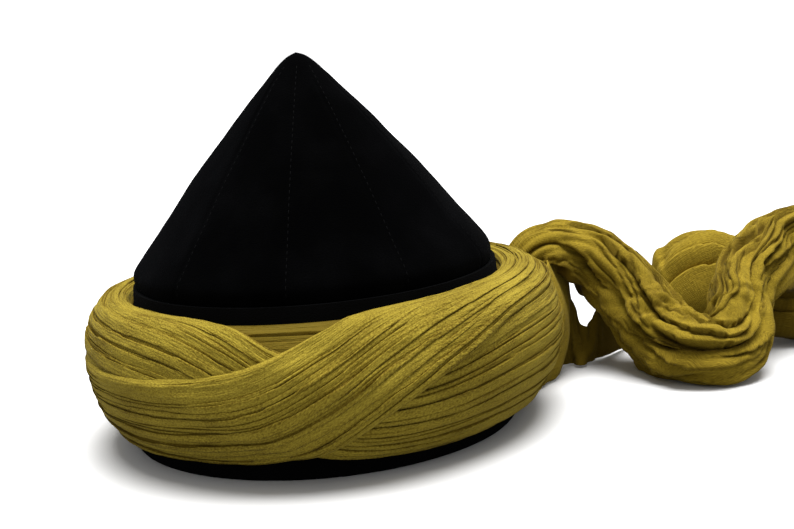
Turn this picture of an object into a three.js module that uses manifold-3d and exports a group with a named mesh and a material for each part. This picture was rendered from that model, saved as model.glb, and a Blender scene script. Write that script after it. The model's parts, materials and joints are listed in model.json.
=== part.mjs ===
// Turban cap: a pointed velvet cap of ten gores on a stiff side band, wound with two crossing
// laps of gathered cloth whose free end lies heaped beside it. Millimetres, +Z up, the front
// towards -Y. The cap is worked out about its own axis, and the whole object is then set down
// with the middle of its box at the origin and its lowest face at z = 0.
import * as THREE from 'three';
import { mergeVertices } from 'three/addons/utils/BufferGeometryUtils.js';
import Module from 'manifold-3d';

const wasm = await Module();
wasm.setup();

const SEAT_GAP = 0.3; // left between pieces that touch
const WELD = 1e-3; // points of a mesh closer than this are one

// The cap
const RIM_RADIUS = 96; // outside of the side band at its foot
const BAND_TOP_RADIUS = 89.5; // outside of the side band where the crown sits on it
const BAND_HEIGHT = 76.5;
const BAND_WALL = 3;
const SHOULDER_INSET = 0.8; // how far the crown's widest lies inside the top of the side band
const CROWN_HEIGHT = 106; // from the side band to the tip
const CROWN_WALL = 2.5;
const LEAST_BORE = 0.5; // radius of the crown's inside where it is narrowest
const TIP_STEP = 1; // least height from the crown's inside below the tip to its top
const GORES = 10;
const FIRST_SEAM = -10; // degrees from the front, positive to the right
const GORE_STEPS = 3; // facets across one gore

// The winding
const WINDING_FOOT = 11.5; // height of the inner winding's underside
const WINDING_HEIGHT = 57.5;
const WINDING_BULGE = 23.5; // how far the inner winding stands out from the band at the right
const LEFT_SLACK = 5.5; // how much less it stands out at the left
const LAP_THICKNESS = 4.8;
const LAP_PRESS = 0.65; // how much of the under lap's thickness still raises the over lap
const RAISE_FROM = -0.12; // shares of the under lap's width, from its edges inwards, over
const RAISE_TO = 0.22; // which it comes to raise the over lap in full
const LAP_ROOT = 5; // how deep a lap's blank reaches below the surface that it is fitted to
const RIB_DEPTH = 0.7; // of the inner winding's folds
const RING_STEPS = 54; // facets round the band and the winding
const WINDING_ROWS = 14; // facets across the inner winding
const SLOPE_STEP = 0.02; // share of the outline between the points that give its slope

// The free end
const TAIL_REACH = 200; // how far the tail lies out from the winding
const TAIL_DEPTH = 120; // of the tail's heap, from front to back
const TAIL_HEIGHT = 64; // of the middle line where the tail is highest
const STRAND_RADIUS = 20; // of the gathered cloth where it is widest
const TAIL_TWIST = 360; // degrees that the folds turn round the tail in its whole length
const TAIL_STEPS = 54; // sections along the tail
const TAIL_SIDES = 20; // points round each section
const TAIL_FOLDS = 5;
const FOLD_DEPTH = 0.22; // share of the section's radius
const FOLD_SHARPNESS = 1.5; // 1 for round folds, more for narrower ones
const DRAPE_WALL = 2.2;
const DRAPE_STEPS = 28;
const DRAPE_ROWS = 4;

// Crown, from the side band up to the tip: radius as a share of its widest, height as a share of
// CROWN_HEIGHT, and how flat each gore is, from 0 for round to 1 for a flat panel.
const CROWN_PROFILE = [
  { out: 0.99, up: 0.0, flat: 0.05 },
  { out: 0.998, up: 0.025, flat: 0.12 },
  { out: 1.0, up: 0.055, flat: 0.2 },
  { out: 0.985, up: 0.085, flat: 0.3 },
  { out: 0.945, up: 0.13, flat: 0.38 },
  { out: 0.83, up: 0.25, flat: 0.45 },
  { out: 0.68, up: 0.41, flat: 0.45 },
  { out: 0.52, up: 0.57, flat: 0.42 },
  { out: 0.35, up: 0.73, flat: 0.36 },
  { out: 0.2, up: 0.865, flat: 0.28 },
  { out: 0.1, up: 0.95, flat: 0.15 },
  { out: 0.045, up: 0.985, flat: 0.0 },
];

// Inner winding's outline, from the band at its top, over the outside, to the band at its foot:
// height as a share of WINDING_HEIGHT and reach as a share of the bulge.
const WINDING_OUTLINE = [
  { up: 1.0, out: 0.0 },
  { up: 1.0, out: 0.22 },
  { up: 1.0, out: 0.45 },
  { up: 0.965, out: 0.7 },
  { up: 0.86, out: 0.9 },
  { up: 0.72, out: 0.99 },
  { up: 0.56, out: 0.99 },
  { up: 0.4, out: 0.9 },
  { up: 0.24, out: 0.71 },
  { up: 0.1, out: 0.45 },
  { up: 0.02, out: 0.22 },
  { up: 0.01, out: 0.0 },
];

// Where each lap runs: degrees round from the front, and the shares of the winding's outline,
// from its top, at which the lap's upper and lower edges lie.
const LAP_OVER_COURSE = [
  { at: -165, upper: 0.36, lower: 0.84 },
  { at: -130, upper: 0.47, lower: 0.93 },
  { at: -90, upper: 0.5, lower: 0.94 },
  { at: -60, upper: 0.49, lower: 0.93 },
  { at: -35, upper: 0.47, lower: 0.93 },
  { at: -15, upper: 0.41, lower: 0.9 },
  { at: 0, upper: 0.27, lower: 0.8 },
  { at: 14, upper: 0.13, lower: 0.65 },
  { at: 28, upper: 0.05, lower: 0.52 },
  { at: 50, upper: 0.03, lower: 0.39 },
  { at: 90, upper: 0.03, lower: 0.38 },
  { at: 130, upper: 0.05, lower: 0.46 },
  { at: 165, upper: 0.2, lower: 0.67 },
];
const LAP_UNDER_COURSE = [
  { at: -165, upper: 0.2, lower: 0.68 },
  { at: -130, upper: 0.05, lower: 0.58 },
  { at: -90, upper: 0.03, lower: 0.56 },
  { at: -60, upper: 0.05, lower: 0.57 },
  { at: -37, upper: 0.1, lower: 0.61 },
  { at: -22, upper: 0.21, lower: 0.7 },
  { at: -10, upper: 0.35, lower: 0.8 },
  { at: 4, upper: 0.44, lower: 0.9 },
  { at: 20, upper: 0.44, lower: 0.94 },
  { at: 50, upper: 0.33, lower: 0.95 },
  { at: 90, upper: 0.32, lower: 0.95 },
  { at: 130, upper: 0.38, lower: 0.95 },
  { at: 165, upper: 0.32, lower: 0.85 },
];

// Folds across a lap, from its upper to its lower edge: place as a share of its width, and
// height as a share of LAP_THICKNESS. Below 0 the edge is tucked into what it lies on.
const LAP_OVER_FOLDS = [
  { across: 0.0, height: -0.5 },
  { across: 0.03, height: 0.45 },
  { across: 0.09, height: 0.82 },
  { across: 0.18, height: 0.68 },
  { across: 0.28, height: 1.02 },
  { across: 0.38, height: 0.8 },
  { across: 0.52, height: 1.1 },
  { across: 0.63, height: 0.82 },
  { across: 0.74, height: 1.04 },
  { across: 0.83, height: 0.76 },
  { across: 0.92, height: 0.9 },
  { across: 0.97, height: 0.5 },
  { across: 1.0, height: -0.5 },
];
const LAP_UNDER_FOLDS = [
  { across: 0.0, height: -0.5 },
  { across: 0.04, height: 0.45 },
  { across: 0.13, height: 0.86 },
  { across: 0.23, height: 0.68 },
  { across: 0.36, height: 1.06 },
  { across: 0.47, height: 0.78 },
  { across: 0.6, height: 1.04 },
  { across: 0.7, height: 0.74 },
  { across: 0.83, height: 0.96 },
  { across: 0.94, height: 0.6 },
  { across: 1.0, height: -0.5 },
];

// Places across a lap, from its lower to its upper edge, where its blank's underside is set.
const LAP_ROOTS = [0.9, 0.7, 0.5, 0.3, 0.1];

// The tail's middle line from inside the winding to its loose end: shares of TAIL_REACH out from
// the winding, of TAIL_DEPTH and of TAIL_HEIGHT, then half its width and half its height as
// shares of STRAND_RADIUS.
const TAIL_COURSE = [
  { out: -0.15, back: 0.5, up: 0.5, wide: 0.5, tall: 0.65 },
  { out: -0.045, back: 0.53, up: 0.7, wide: 0.6, tall: 0.7 },
  { out: 0.04, back: 0.53, up: 0.94, wide: 0.75, tall: 0.72 },
  { out: 0.12, back: 0.5, up: 0.95, wide: 0.88, tall: 0.76 },
  { out: 0.187, back: 0.44, up: 0.85, wide: 0.95, tall: 0.86 },
  { out: 0.236, back: 0.36, up: 0.69, wide: 0.95, tall: 0.95 },
  { out: 0.28, back: 0.265, up: 0.495, wide: 0.98, tall: 1 },
  { out: 0.316, back: 0.165, up: 0.33, wide: 1, tall: 1 },
  { out: 0.354, back: 0.065, up: 0.225, wide: 1.02, tall: 0.95 },
  { out: 0.4, back: -0.005, up: 0.18, wide: 1, tall: 0.92 },
  { out: 0.446, back: -0.01, up: 0.19, wide: 0.96, tall: 0.92 },
  { out: 0.485, back: 0.035, up: 0.275, wide: 0.86, tall: 0.9 },
  { out: 0.504, back: 0.105, up: 0.42, wide: 0.79, tall: 0.88 },
  { out: 0.514, back: 0.185, up: 0.56, wide: 0.75, tall: 0.8 },
  { out: 0.54, back: 0.26, up: 0.66, wide: 0.76, tall: 0.72 },
  { out: 0.6, back: 0.34, up: 0.76, wide: 0.82, tall: 0.72 },
  { out: 0.68, back: 0.435, up: 0.86, wide: 0.85, tall: 0.76 },
  { out: 0.78, back: 0.485, up: 0.93, wide: 0.85, tall: 0.8 },
  { out: 0.875, back: 0.565, up: 0.835, wide: 0.85, tall: 0.8 },
  { out: 0.935, back: 0.69, up: 0.63, wide: 0.85, tall: 0.8 },
  { out: 0.93, back: 0.745, up: 0.43, wide: 0.88, tall: 0.8 },
  { out: 0.862, back: 0.63, up: 0.27, wide: 0.9, tall: 0.8 },
  { out: 0.778, back: 0.49, up: 0.23, wide: 0.9, tall: 0.8 },
  { out: 0.7, back: 0.47, up: 0.26, wide: 0.85, tall: 0.8 },
  { out: 0.65, back: 0.61, up: 0.38, wide: 0.85, tall: 0.95 },
  { out: 0.58, back: 0.71, up: 0.515, wide: 0.95, tall: 1.28 },
  { out: 0.51, back: 0.72, up: 0.505, wide: 1, tall: 1.28 },
  { out: 0.445, back: 0.74, up: 0.38, wide: 1, tall: 1.02 },
  { out: 0.37, back: 0.76, up: 0.25, wide: 0.95, tall: 0.76 },
  { out: 0.275, back: 0.715, up: 0.14, wide: 1, tall: 0.45 },
];

// The drape's foot on the table, its belly half way up and its upper edge, as shares like the
// tail's.
const DRAPE_COURSE = [
  { footOut: -0.04, footBack: 0.035, bellyOut: -0.01, bellyBack: 0.05,
    topOut: -0.02, topBack: 0.115, topUp: 0.78 },
  { footOut: -0.005, footBack: 0.135, bellyOut: 0.05, bellyBack: 0.165,
    topOut: 0.025, topBack: 0.215, topUp: 0.93 },
  { footOut: 0.04, footBack: 0.25, bellyOut: 0.074, bellyBack: 0.285,
    topOut: 0.05, topBack: 0.365, topUp: 0.95 },
  { footOut: 0.062, footBack: 0.365, bellyOut: 0.092, bellyBack: 0.385,
    topOut: 0.105, topBack: 0.435, topUp: 0.78 },
  { footOut: 0.092, footBack: 0.385, bellyOut: 0.106, bellyBack: 0.4,
    topOut: 0.112, topBack: 0.435, topUp: 0.5 },
  { footOut: 0.122, footBack: 0.36, bellyOut: 0.13, bellyBack: 0.385,
    topOut: 0.137, topBack: 0.415, topUp: 0.225 },
  { footOut: 0.158, footBack: 0.405, bellyOut: 0.164, bellyBack: 0.415,
    topOut: 0.166, topBack: 0.415, topUp: 0.4 },
  { footOut: 0.175, footBack: 0.43, bellyOut: 0.178, bellyBack: 0.425,
    topOut: 0.178, topBack: 0.415, topUp: 0.6 },
  { footOut: 0.205, footBack: 0.47, bellyOut: 0.205, bellyBack: 0.44,
    topOut: 0.205, topBack: 0.415, topUp: 0.68 },
  { footOut: 0.275, footBack: 0.6, bellyOut: 0.265, bellyBack: 0.5,
    topOut: 0.25, topBack: 0.4, topUp: 0.5 },
];

const radians = THREE.MathUtils.degToRad;
const mod = (value, period) => ((value % period) + period) % period;

// A smooth value from a table's column at a place along its rows, counted in rows.
function fromRows(rows, column, place) {
  const last = rows.length - 1;
  const row = Math.min(last - 1, Math.max(0, Math.floor(place)));
  const t = THREE.MathUtils.clamp(place - row, 0, 1);
  const value = (i) => rows[THREE.MathUtils.clamp(i, 0, last)][column];
  const slope = (i) => (value(i + 1) - value(i - 1)) / 2;
  return hermite(value(row), value(row + 1), slope(row), slope(row + 1), t);
}

function hermite(from, to, slopeFrom, slopeTo, t) {
  const t2 = t * t;
  const t3 = t2 * t;
  return (2 * t3 - 3 * t2 + 1) * from + (t3 - 2 * t2 + t) * slopeFrom
    + (3 * t2 - 2 * t3) * to + (t3 - t2) * slopeTo;
}

// A smooth value from a course that runs once round, in degrees.
function roundCourse(rows, column, degrees) {
  const n = rows.length;
  const at = rows[0].at + mod(degrees - rows[0].at, 360);
  let row = n - 1;
  while (rows[row].at > at) row -= 1;
  const place = (i) => rows[mod(i, n)].at + 360 * Math.floor(i / n);
  const value = (i) => rows[mod(i, n)][column];
  const slope = (i) => (value(i + 1) - value(i - 1)) / (place(i + 1) - place(i - 1));
  const span = place(row + 1) - place(row);
  const t = (at - place(row)) / span;
  return hermite(value(row), value(row + 1), slope(row) * span, slope(row + 1) * span, t);
}

// One closed mesh from loops of points, each with as many points as the next. The loops either
// run once round, or the first and the last are closed with a fan about their middle.
function loft(loops, closedRound) {
  const sides = loops[0].length;
  const points = loops.flat();
  const index = [];
  const bands = closedRound ? loops.length : loops.length - 1;
  for (let i = 0; i < bands; i += 1) {
    const here = i * sides;
    const next = ((i + 1) % loops.length) * sides;
    for (let j = 0; j < sides; j += 1) {
      const k = (j + 1) % sides;
      index.push(here + j, next + j, next + k, here + j, next + k, here + k);
    }
  }
  if (!closedRound) {
    [0, loops.length - 1].forEach((end) => {
      const middle = points.length;
      const sum = loops[end].reduce((total, p) => total.add(p), new THREE.Vector3());
      points.push(sum.divideScalar(sides));
      for (let j = 0; j < sides; j += 1) {
        const a = end * sides + j;
        const b = end * sides + ((j + 1) % sides);
        index.push(middle, ...(end === 0 ? [a, b] : [b, a]));
      }
    });
  }
  const geometry = new THREE.BufferGeometry().setFromPoints(points);
  geometry.setIndex(index);
  return outward(geometry);
}

// The same geometry with its faces pointing out.
function outward(geometry) {
  const p = geometry.getAttribute('position');
  const { array } = geometry.index;
  const [a, b, c] = [new THREE.Vector3(), new THREE.Vector3(), new THREE.Vector3()];
  let volume = 0;
  for (let i = 0; i < array.length; i += 3) {
    a.fromBufferAttribute(p, array[i]);
    b.fromBufferAttribute(p, array[i + 1]);
    c.fromBufferAttribute(p, array[i + 2]);
    volume += a.dot(b.cross(c));
  }
  if (volume < 0) {
    for (let i = 0; i < array.length; i += 3) {
      [array[i + 1], array[i + 2]] = [array[i + 2], array[i + 1]];
    }
  }
  return geometry;
}

function solidOf(geometry) {
  const merged = mergeVertices(geometry, WELD);
  return new wasm.Manifold(new wasm.Mesh({
    numProp: 3,
    vertProperties: new Float32Array(merged.attributes.position.array),
    triVerts: new Uint32Array(merged.index.array),
  }));
}

// The piece that is left when its neighbours are cut away, without offcuts.
function cutFrom(blank, neighbours) {
  const cut = neighbours.reduce((solid, other) => solid.subtract(solidOf(other)), solidOf(blank));
  const largest = cut.decompose().reduce((a, b) => (a.volume() > b.volume() ? a : b));
  const mesh = largest.getMesh();
  const geometry = new THREE.BufferGeometry();
  geometry.setAttribute('position', new THREE.BufferAttribute(mesh.vertProperties, 3));
  geometry.setIndex(new THREE.BufferAttribute(mesh.triVerts, 1));
  return geometry;
}

// A point at a radius and height in a direction, in degrees from the front.
function around(degrees, radius, height) {
  const angle = radians(degrees);
  return new THREE.Vector3(radius * Math.sin(angle), -radius * Math.cos(angle), height);
}

// Outside radius of the side band at a height, carried on above its top.
function bandRadius(height) {
  return RIM_RADIUS + (BAND_TOP_RADIUS - RIM_RADIUS) * Math.min(1, height / BAND_HEIGHT);
}

// A closed ring round the cap from the loop of points that stands in each direction.
function ring(loopAt) {
  const loops = [];
  for (let i = 0; i < RING_STEPS; i += 1) loops.push(loopAt((360 * i) / RING_STEPS));
  return loft(loops, true);
}

function sideBand() {
  return ring((degrees) => [
    around(degrees, RIM_RADIUS - BAND_WALL, 0),
    around(degrees, RIM_RADIUS, 0),
    around(degrees, BAND_TOP_RADIUS, BAND_HEIGHT),
    around(degrees, BAND_TOP_RADIUS - BAND_WALL, BAND_HEIGHT),
  ]);
}

// How far a gore's surface lies inside the circle through its seams, as a share of the radius.
function goreShare(degrees, flat) {
  const gore = 360 / GORES;
  const fromMiddle = Math.abs(mod(degrees - FIRST_SEAM, gore) - gore / 2);
  const panel = Math.cos(radians(gore / 2)) / Math.cos(radians(fromMiddle));
  return 1 - flat * (1 - panel);
}

function crown() {
  const foot = BAND_HEIGHT + SEAT_GAP;
  const outer = CROWN_PROFILE.map((row) => ({
    radius: (BAND_TOP_RADIUS - SHOULDER_INSET) * row.out,
    height: foot + CROWN_HEIGHT * row.up,
    flat: row.flat,
  }));
  const tip = foot + CROWN_HEIGHT;
  // The inside runs parallel to the outside, one wall in along each row's normal.
  const inner = outer.map((row, i) => {
    const before = outer[Math.max(0, i - 1)];
    const after = outer[i + 1] || { radius: 0, height: tip };
    const along = new THREE.Vector2(after.radius - before.radius, after.height - before.height);
    along.normalize();
    return {
      radius: Math.max(LEAST_BORE, row.radius - CROWN_WALL * along.y),
      height: i === 0 ? row.height : row.height + CROWN_WALL * along.x,
      flat: row.flat,
    };
  });
  const innerTip = Math.min(tip - CROWN_WALL, inner[inner.length - 1].height + TIP_STEP);
  const lower = inner.filter((row) => row.height < innerTip - TIP_STEP);
  const steps = GORES * GORE_STEPS;
  const points = [around(0, 0, tip), around(0, 0, innerTip)];
  const ringOf = (row) => {
    const start = points.length;
    for (let j = 0; j < steps; j += 1) {
      const degrees = FIRST_SEAM + (360 * j) / steps;
      points.push(around(degrees, row.radius * goreShare(degrees, row.flat), row.height));
    }
    return start;
  };
  const rings = [...lower.slice().reverse().map(ringOf), ...outer.map(ringOf)];
  const index = [];
  for (let j = 0; j < steps; j += 1) {
    const k = (j + 1) % steps;
    index.push(1, rings[0] + j, rings[0] + k);
    for (let i = 0; i + 1 < rings.length; i += 1) {
      const [a, b] = [rings[i], rings[i + 1]];
      index.push(a + j, b + j, b + k, a + j, b + k, a + k);
    }
    const top = rings[rings.length - 1];
    index.push(0, top + k, top + j);
  }
  const geometry = new THREE.BufferGeometry().setFromPoints(points);
  geometry.setIndex(index);
  return outward(geometry);
}

// How far the inner winding stands out from the band in a direction.
function bulgeAt(degrees) {
  return WINDING_BULGE - LEFT_SLACK * (0.5 - 0.5 * Math.sin(radians(degrees)));
}

// The winding's surface at a share of its outline from the top, lifted along its normal.
function windingPoint(degrees, share, lift) {
  const rows = WINDING_OUTLINE.length - 1;
  const at = (s) => {
    const place = THREE.MathUtils.clamp(s, 0, 1) * rows;
    const height = WINDING_FOOT + WINDING_HEIGHT * fromRows(WINDING_OUTLINE, 'up', place);
    const out = bulgeAt(degrees) * fromRows(WINDING_OUTLINE, 'out', place);
    return new THREE.Vector2(bandRadius(height) + SEAT_GAP + out, height);
  };
  const along = at(share + SLOPE_STEP).sub(at(share - SLOPE_STEP)).normalize();
  const here = at(share);
  const radius = here.x - along.y * lift;
  const height = here.y + along.x * lift;
  return around(degrees, Math.max(radius, bandRadius(height) + SEAT_GAP), height);
}

function innerWinding(swell = 0) {
  return ring((degrees) => {
    const loop = [];
    for (let j = 0; j <= WINDING_ROWS; j += 1) {
      const dip = (j % 2) * RIB_DEPTH;
      loop.push(windingPoint(degrees, j / WINDING_ROWS, swell - dip));
    }
    return loop;
  });
}

// How much the under lap raises what is wound over it, with its edges eased.
function carriedBy(course, degrees, share) {
  const upper = roundCourse(course, 'upper', degrees);
  const lower = roundCourse(course, 'lower', degrees);
  const fromEdge = Math.min(share - upper, lower - share) / (lower - upper);
  return LAP_PRESS * LAP_THICKNESS * THREE.MathUtils.smoothstep(fromEdge, RAISE_FROM, RAISE_TO);
}

// A lap's blank: its folded outside, and an underside that reaches into what it is wound on.
function lapBlank(course, folds, carrier, swell = 0) {
  return ring((degrees) => {
    const upper = roundCourse(course, 'upper', degrees);
    const lower = roundCourse(course, 'lower', degrees);
    const place = (across) => THREE.MathUtils.lerp(upper, lower, across);
    const outside = folds.map((fold) => {
      const share = place(fold.across);
      const carried = carrier ? carriedBy(carrier, degrees, share) : 0;
      return windingPoint(degrees, share, LAP_THICKNESS * fold.height + carried + swell);
    });
    const inside = LAP_ROOTS.map((across) => windingPoint(degrees, place(across), -LAP_ROOT));
    return [...outside, ...inside];
  });
}

// A point of the heap: shares out from the winding, towards the back and up.
function heapPoint(out, back, up) {
  const winding = bandRadius(WINDING_FOOT + WINDING_HEIGHT / 2) + WINDING_BULGE;
  return new THREE.Vector3(winding + TAIL_REACH * out, TAIL_DEPTH * back, TAIL_HEIGHT * up);
}

// One section of the tail: an oval drawn in between its folds, flat where it rests.
function tailSection(line, t, swell) {
  const place = t * (TAIL_COURSE.length - 1);
  const middle = line.getPoint(t);
  const ahead = line.getTangent(t);
  const across = new THREE.Vector3().crossVectors(ahead, new THREE.Vector3(0, 0, 1)).normalize();
  const up = new THREE.Vector3().crossVectors(across, ahead).normalize();
  const wide = STRAND_RADIUS * fromRows(TAIL_COURSE, 'wide', place) + swell;
  const tall = STRAND_RADIUS * fromRows(TAIL_COURSE, 'tall', place) + swell;
  const loop = [];
  for (let j = 0; j < TAIL_SIDES; j += 1) {
    const angle = (2 * Math.PI * j) / TAIL_SIDES;
    const fold = Math.abs(Math.sin((TAIL_FOLDS * angle - radians(TAIL_TWIST * t)) / 2));
    const reach = 1 - FOLD_DEPTH * (1 - fold) ** FOLD_SHARPNESS;
    const point = middle.clone()
      .addScaledVector(across, wide * reach * Math.cos(angle))
      .addScaledVector(up, tall * reach * Math.sin(angle));
    point.z = Math.max(point.z, 0);
    loop.push(point);
  }
  return loop;
}

function tailBlank(swell = 0) {
  const course = TAIL_COURSE.map((row) => heapPoint(row.out, row.back, row.up));
  const line = new THREE.CatmullRomCurve3(course);
  const loops = [];
  for (let i = 0; i <= TAIL_STEPS; i += 1) loops.push(tailSection(line, i / TAIL_STEPS, swell));
  return loft(loops, false);
}

// The drape's blank: a wall of cloth that rises from its foot line, over its belly, to its edge.
function drapeBlank() {
  const rows = DRAPE_COURSE.length - 1;
  const at = (i) => (name) => fromRows(DRAPE_COURSE, name, (rows * i) / DRAPE_STEPS);
  const footAt = (i) => heapPoint(at(i)('footOut'), at(i)('footBack'), 0);
  const loops = [];
  for (let i = 0; i <= DRAPE_STEPS; i += 1) {
    const share = at(i);
    const foot = footAt(i);
    const ahead = footAt(i + 0.5).sub(footAt(i - 0.5)).normalize();
    const half = new THREE.Vector3(ahead.y, -ahead.x, 0).multiplyScalar(DRAPE_WALL / 2);
    const belly = heapPoint(share('bellyOut'), share('bellyBack'), share('topUp') / 2);
    const top = heapPoint(share('topOut'), share('topBack'), share('topUp'));
    const pull = belly.multiplyScalar(2).addScaledVector(foot, -0.5).addScaledVector(top, -0.5);
    const up = new THREE.QuadraticBezierCurve3(foot, pull, top).getPoints(DRAPE_ROWS);
    const near = up.map((point) => point.clone().add(half));
    const far = up.map((point) => point.clone().sub(half)).reverse();
    loops.push([...near, ...far]);
  }
  return loft(loops, false);
}

function cloth(colour) {
  return new THREE.MeshStandardMaterial({ color: colour, roughness: 0.9, metalness: 0 });
}

const VELVET = cloth(0x08080a);
const WINDING_CLOTH = cloth(0x8f7b24);
const TAIL_CLOTH = cloth(0x8a7217);

const swollenWinding = innerWinding(SEAT_GAP);
const swollenUnder = lapBlank(LAP_UNDER_COURSE, LAP_UNDER_FOLDS, null, SEAT_GAP);
const swollenOver = lapBlank(LAP_OVER_COURSE, LAP_OVER_FOLDS, LAP_UNDER_COURSE, SEAT_GAP);
const swollenTail = tailBlank(SEAT_GAP);
const wound = [swollenWinding, swollenUnder, swollenOver];

const PIECES = [
  ['crown', crown(), VELVET],
  ['side_band', sideBand(), VELVET],
  ['inner_winding', innerWinding(), WINDING_CLOTH],
  ['lap_under', cutFrom(lapBlank(LAP_UNDER_COURSE, LAP_UNDER_FOLDS, null), [swollenWinding]),
    WINDING_CLOTH],
  ['lap_over', cutFrom(lapBlank(LAP_OVER_COURSE, LAP_OVER_FOLDS, LAP_UNDER_COURSE),
    [swollenWinding, swollenUnder]), WINDING_CLOTH],
  ['tail', cutFrom(tailBlank(), wound), TAIL_CLOTH],
  ['tail_drape', cutFrom(drapeBlank(), [...wound, swollenTail]), TAIL_CLOTH],
];

const cap = new THREE.Group();
PIECES.forEach(([name, geometry, material]) => {
  const mesh = new THREE.Mesh(geometry, material);
  mesh.name = name;
  cap.add(mesh);
});

const box = new THREE.Box3().setFromObject(cap);
const middle = box.getCenter(new THREE.Vector3());
cap.position.set(-middle.x, -middle.y, -box.min.z);

export default cap;
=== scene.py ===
# %% [markdown]
# # A turban cap, piece by piece
# The object is a pointed black velvet cap on a stiff side band. Mustard cotton is wound round the
# band in gathered laps that cross at the front, and the free end of the cloth lies heaped beside
# the cap. The measured frame is loaded first, so that every piece is made in metres where it
# really sits. The box of the side band gives the cap's axis.

import json
import math

import bmesh
import bpy
import numpy as np
from mathutils import Matrix, Vector

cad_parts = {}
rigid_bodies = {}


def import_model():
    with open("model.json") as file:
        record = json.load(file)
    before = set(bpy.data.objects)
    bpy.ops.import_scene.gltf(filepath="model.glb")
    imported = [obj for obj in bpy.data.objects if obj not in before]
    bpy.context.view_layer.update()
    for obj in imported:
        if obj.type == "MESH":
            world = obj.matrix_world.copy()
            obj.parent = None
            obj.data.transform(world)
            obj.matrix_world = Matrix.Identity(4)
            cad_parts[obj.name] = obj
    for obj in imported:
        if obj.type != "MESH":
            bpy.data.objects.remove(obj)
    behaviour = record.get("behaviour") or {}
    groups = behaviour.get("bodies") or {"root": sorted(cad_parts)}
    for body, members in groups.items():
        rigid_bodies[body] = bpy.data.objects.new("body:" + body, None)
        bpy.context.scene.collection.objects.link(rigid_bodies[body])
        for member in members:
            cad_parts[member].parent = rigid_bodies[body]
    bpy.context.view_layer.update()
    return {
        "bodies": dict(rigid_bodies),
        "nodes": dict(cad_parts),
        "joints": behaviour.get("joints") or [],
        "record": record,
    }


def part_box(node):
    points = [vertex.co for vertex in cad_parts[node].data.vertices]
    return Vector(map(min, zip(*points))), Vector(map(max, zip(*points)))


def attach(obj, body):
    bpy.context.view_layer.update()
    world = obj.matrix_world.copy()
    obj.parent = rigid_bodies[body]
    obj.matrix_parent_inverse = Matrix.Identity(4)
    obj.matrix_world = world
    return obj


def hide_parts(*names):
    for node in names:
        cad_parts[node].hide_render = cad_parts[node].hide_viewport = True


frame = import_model()

band_low, band_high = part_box("side_band")
AXIS = (band_low + band_high) / 2
AXIS.z = 0
print("the cap's axis stands at", tuple(round(v, 4) for v in AXIS))

# %% [markdown]
# ## The camera
# The photograph looks slightly down on the cap with a short telephoto lens, turned a little to the
# right and tilted. The three directions of the camera were worked out from the cap's circles, so
# they are set here as the columns of its matrix. A camera looks along its own -Z.

# %% Set the camera
VIEW_FROM = Vector((0, -0.6435, 0.1937))
LOOK = Vector((0.06225, 0.98128, -0.18224))
RIGHT = Vector((0.99394, -0.07751, -0.07782))
LENS = 59.43
SENSOR_WIDTH = 36
NEAREST = 0.05
FARTHEST = 50

lens = bpy.data.cameras.new("camera")
lens.lens = LENS
lens.sensor_width = SENSOR_WIDTH
lens.clip_start = NEAREST
lens.clip_end = FARTHEST
camera = bpy.data.objects.new("camera", lens)
bpy.context.scene.collection.objects.link(camera)
turn = Matrix((RIGHT, RIGHT.cross(LOOK), -LOOK)).transposed()
camera.matrix_world = Matrix.Translation(AXIS + VIEW_FROM) @ turn.to_4x4()
bpy.context.scene.camera = camera
print("the camera stands", round(VIEW_FROM.length, 3), "m from the foot of the cap's axis")

# %% [markdown]
# ## Small helpers for finishes
# A finish is a tree of nodes. These helpers add a node with its settings and the values of its
# sockets in one line, and start a material with the values of its shader.

# %% Add nodes and start materials
def node(tree, kind, inputs=None, **settings):
    """A new node in a tree, with these settings and values on its input sockets."""
    made = tree.nodes.new(kind)
    for name, value in settings.items():
        setattr(made, name, value)
    for name, value in (inputs or {}).items():
        made.inputs[name].default_value = value
    return made


def new_material(name, shader_inputs):
    """A new material with these values on its shader, the material's tree and the shader."""
    material = bpy.data.materials.new(name)
    material.use_nodes = True
    shader = material.node_tree.nodes["Principled BSDF"]
    for socket_name, value in shader_inputs.items():
        shader.inputs[socket_name].default_value = value
    return material, material.node_tree, shader


def grey(tone):
    return (tone, tone, tone, 1)

# %% [markdown]
# ## Floor and light
# The picture is high key: a pale floor that is lit until it is white, a broad soft light from
# above, and only a short soft shadow at the foot of the cap. A sun lamp with a very wide disc
# does this, because it lights the whole floor evenly and still gives soft shadows. The world
# adds a weak even light from all sides, and shows white behind the floor. The floor throws back
# less light than it shows, so that the undersides of the cloth stay as dark as in the picture.

# %% Lay the floor and hang the light
FLOOR_SIZE = 12
FLOOR_DROP = 0.0002
FLOOR_TONE = 0.8
FLOOR_BOUNCE = 0.28
FLOOR_FINISH = {"Roughness": 0.9, "Specular IOR Level": 0.1}
SKY_LIGHT = 0.5
BACKDROP_GLOW = 1.1
SUN_STRENGTH = 5.6
SUN_DISC = math.radians(46)
SUN_TILT = (math.radians(-3), math.radians(5), 0)


def deselect_all():
    bpy.ops.object.select_all(action="DESELECT")


deselect_all()
bpy.ops.mesh.primitive_plane_add(size=FLOOR_SIZE, location=(0, 0, -FLOOR_DROP))
floor = bpy.context.object
floor.name = "floor"
floor_paint, tree, shader = new_material("floor_paint", FLOOR_FINISH)
seen = node(tree, "ShaderNodeLightPath")
tones = {"A": grey(FLOOR_BOUNCE), "B": grey(FLOOR_TONE)}
floor_shade = node(tree, "ShaderNodeMix", tones, data_type="RGBA")
tree.links.new(seen.outputs["Is Camera Ray"], floor_shade.inputs["Factor"])
tree.links.new(floor_shade.outputs["Result"], shader.inputs["Base Color"])
floor.data.materials.append(floor_paint)

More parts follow.
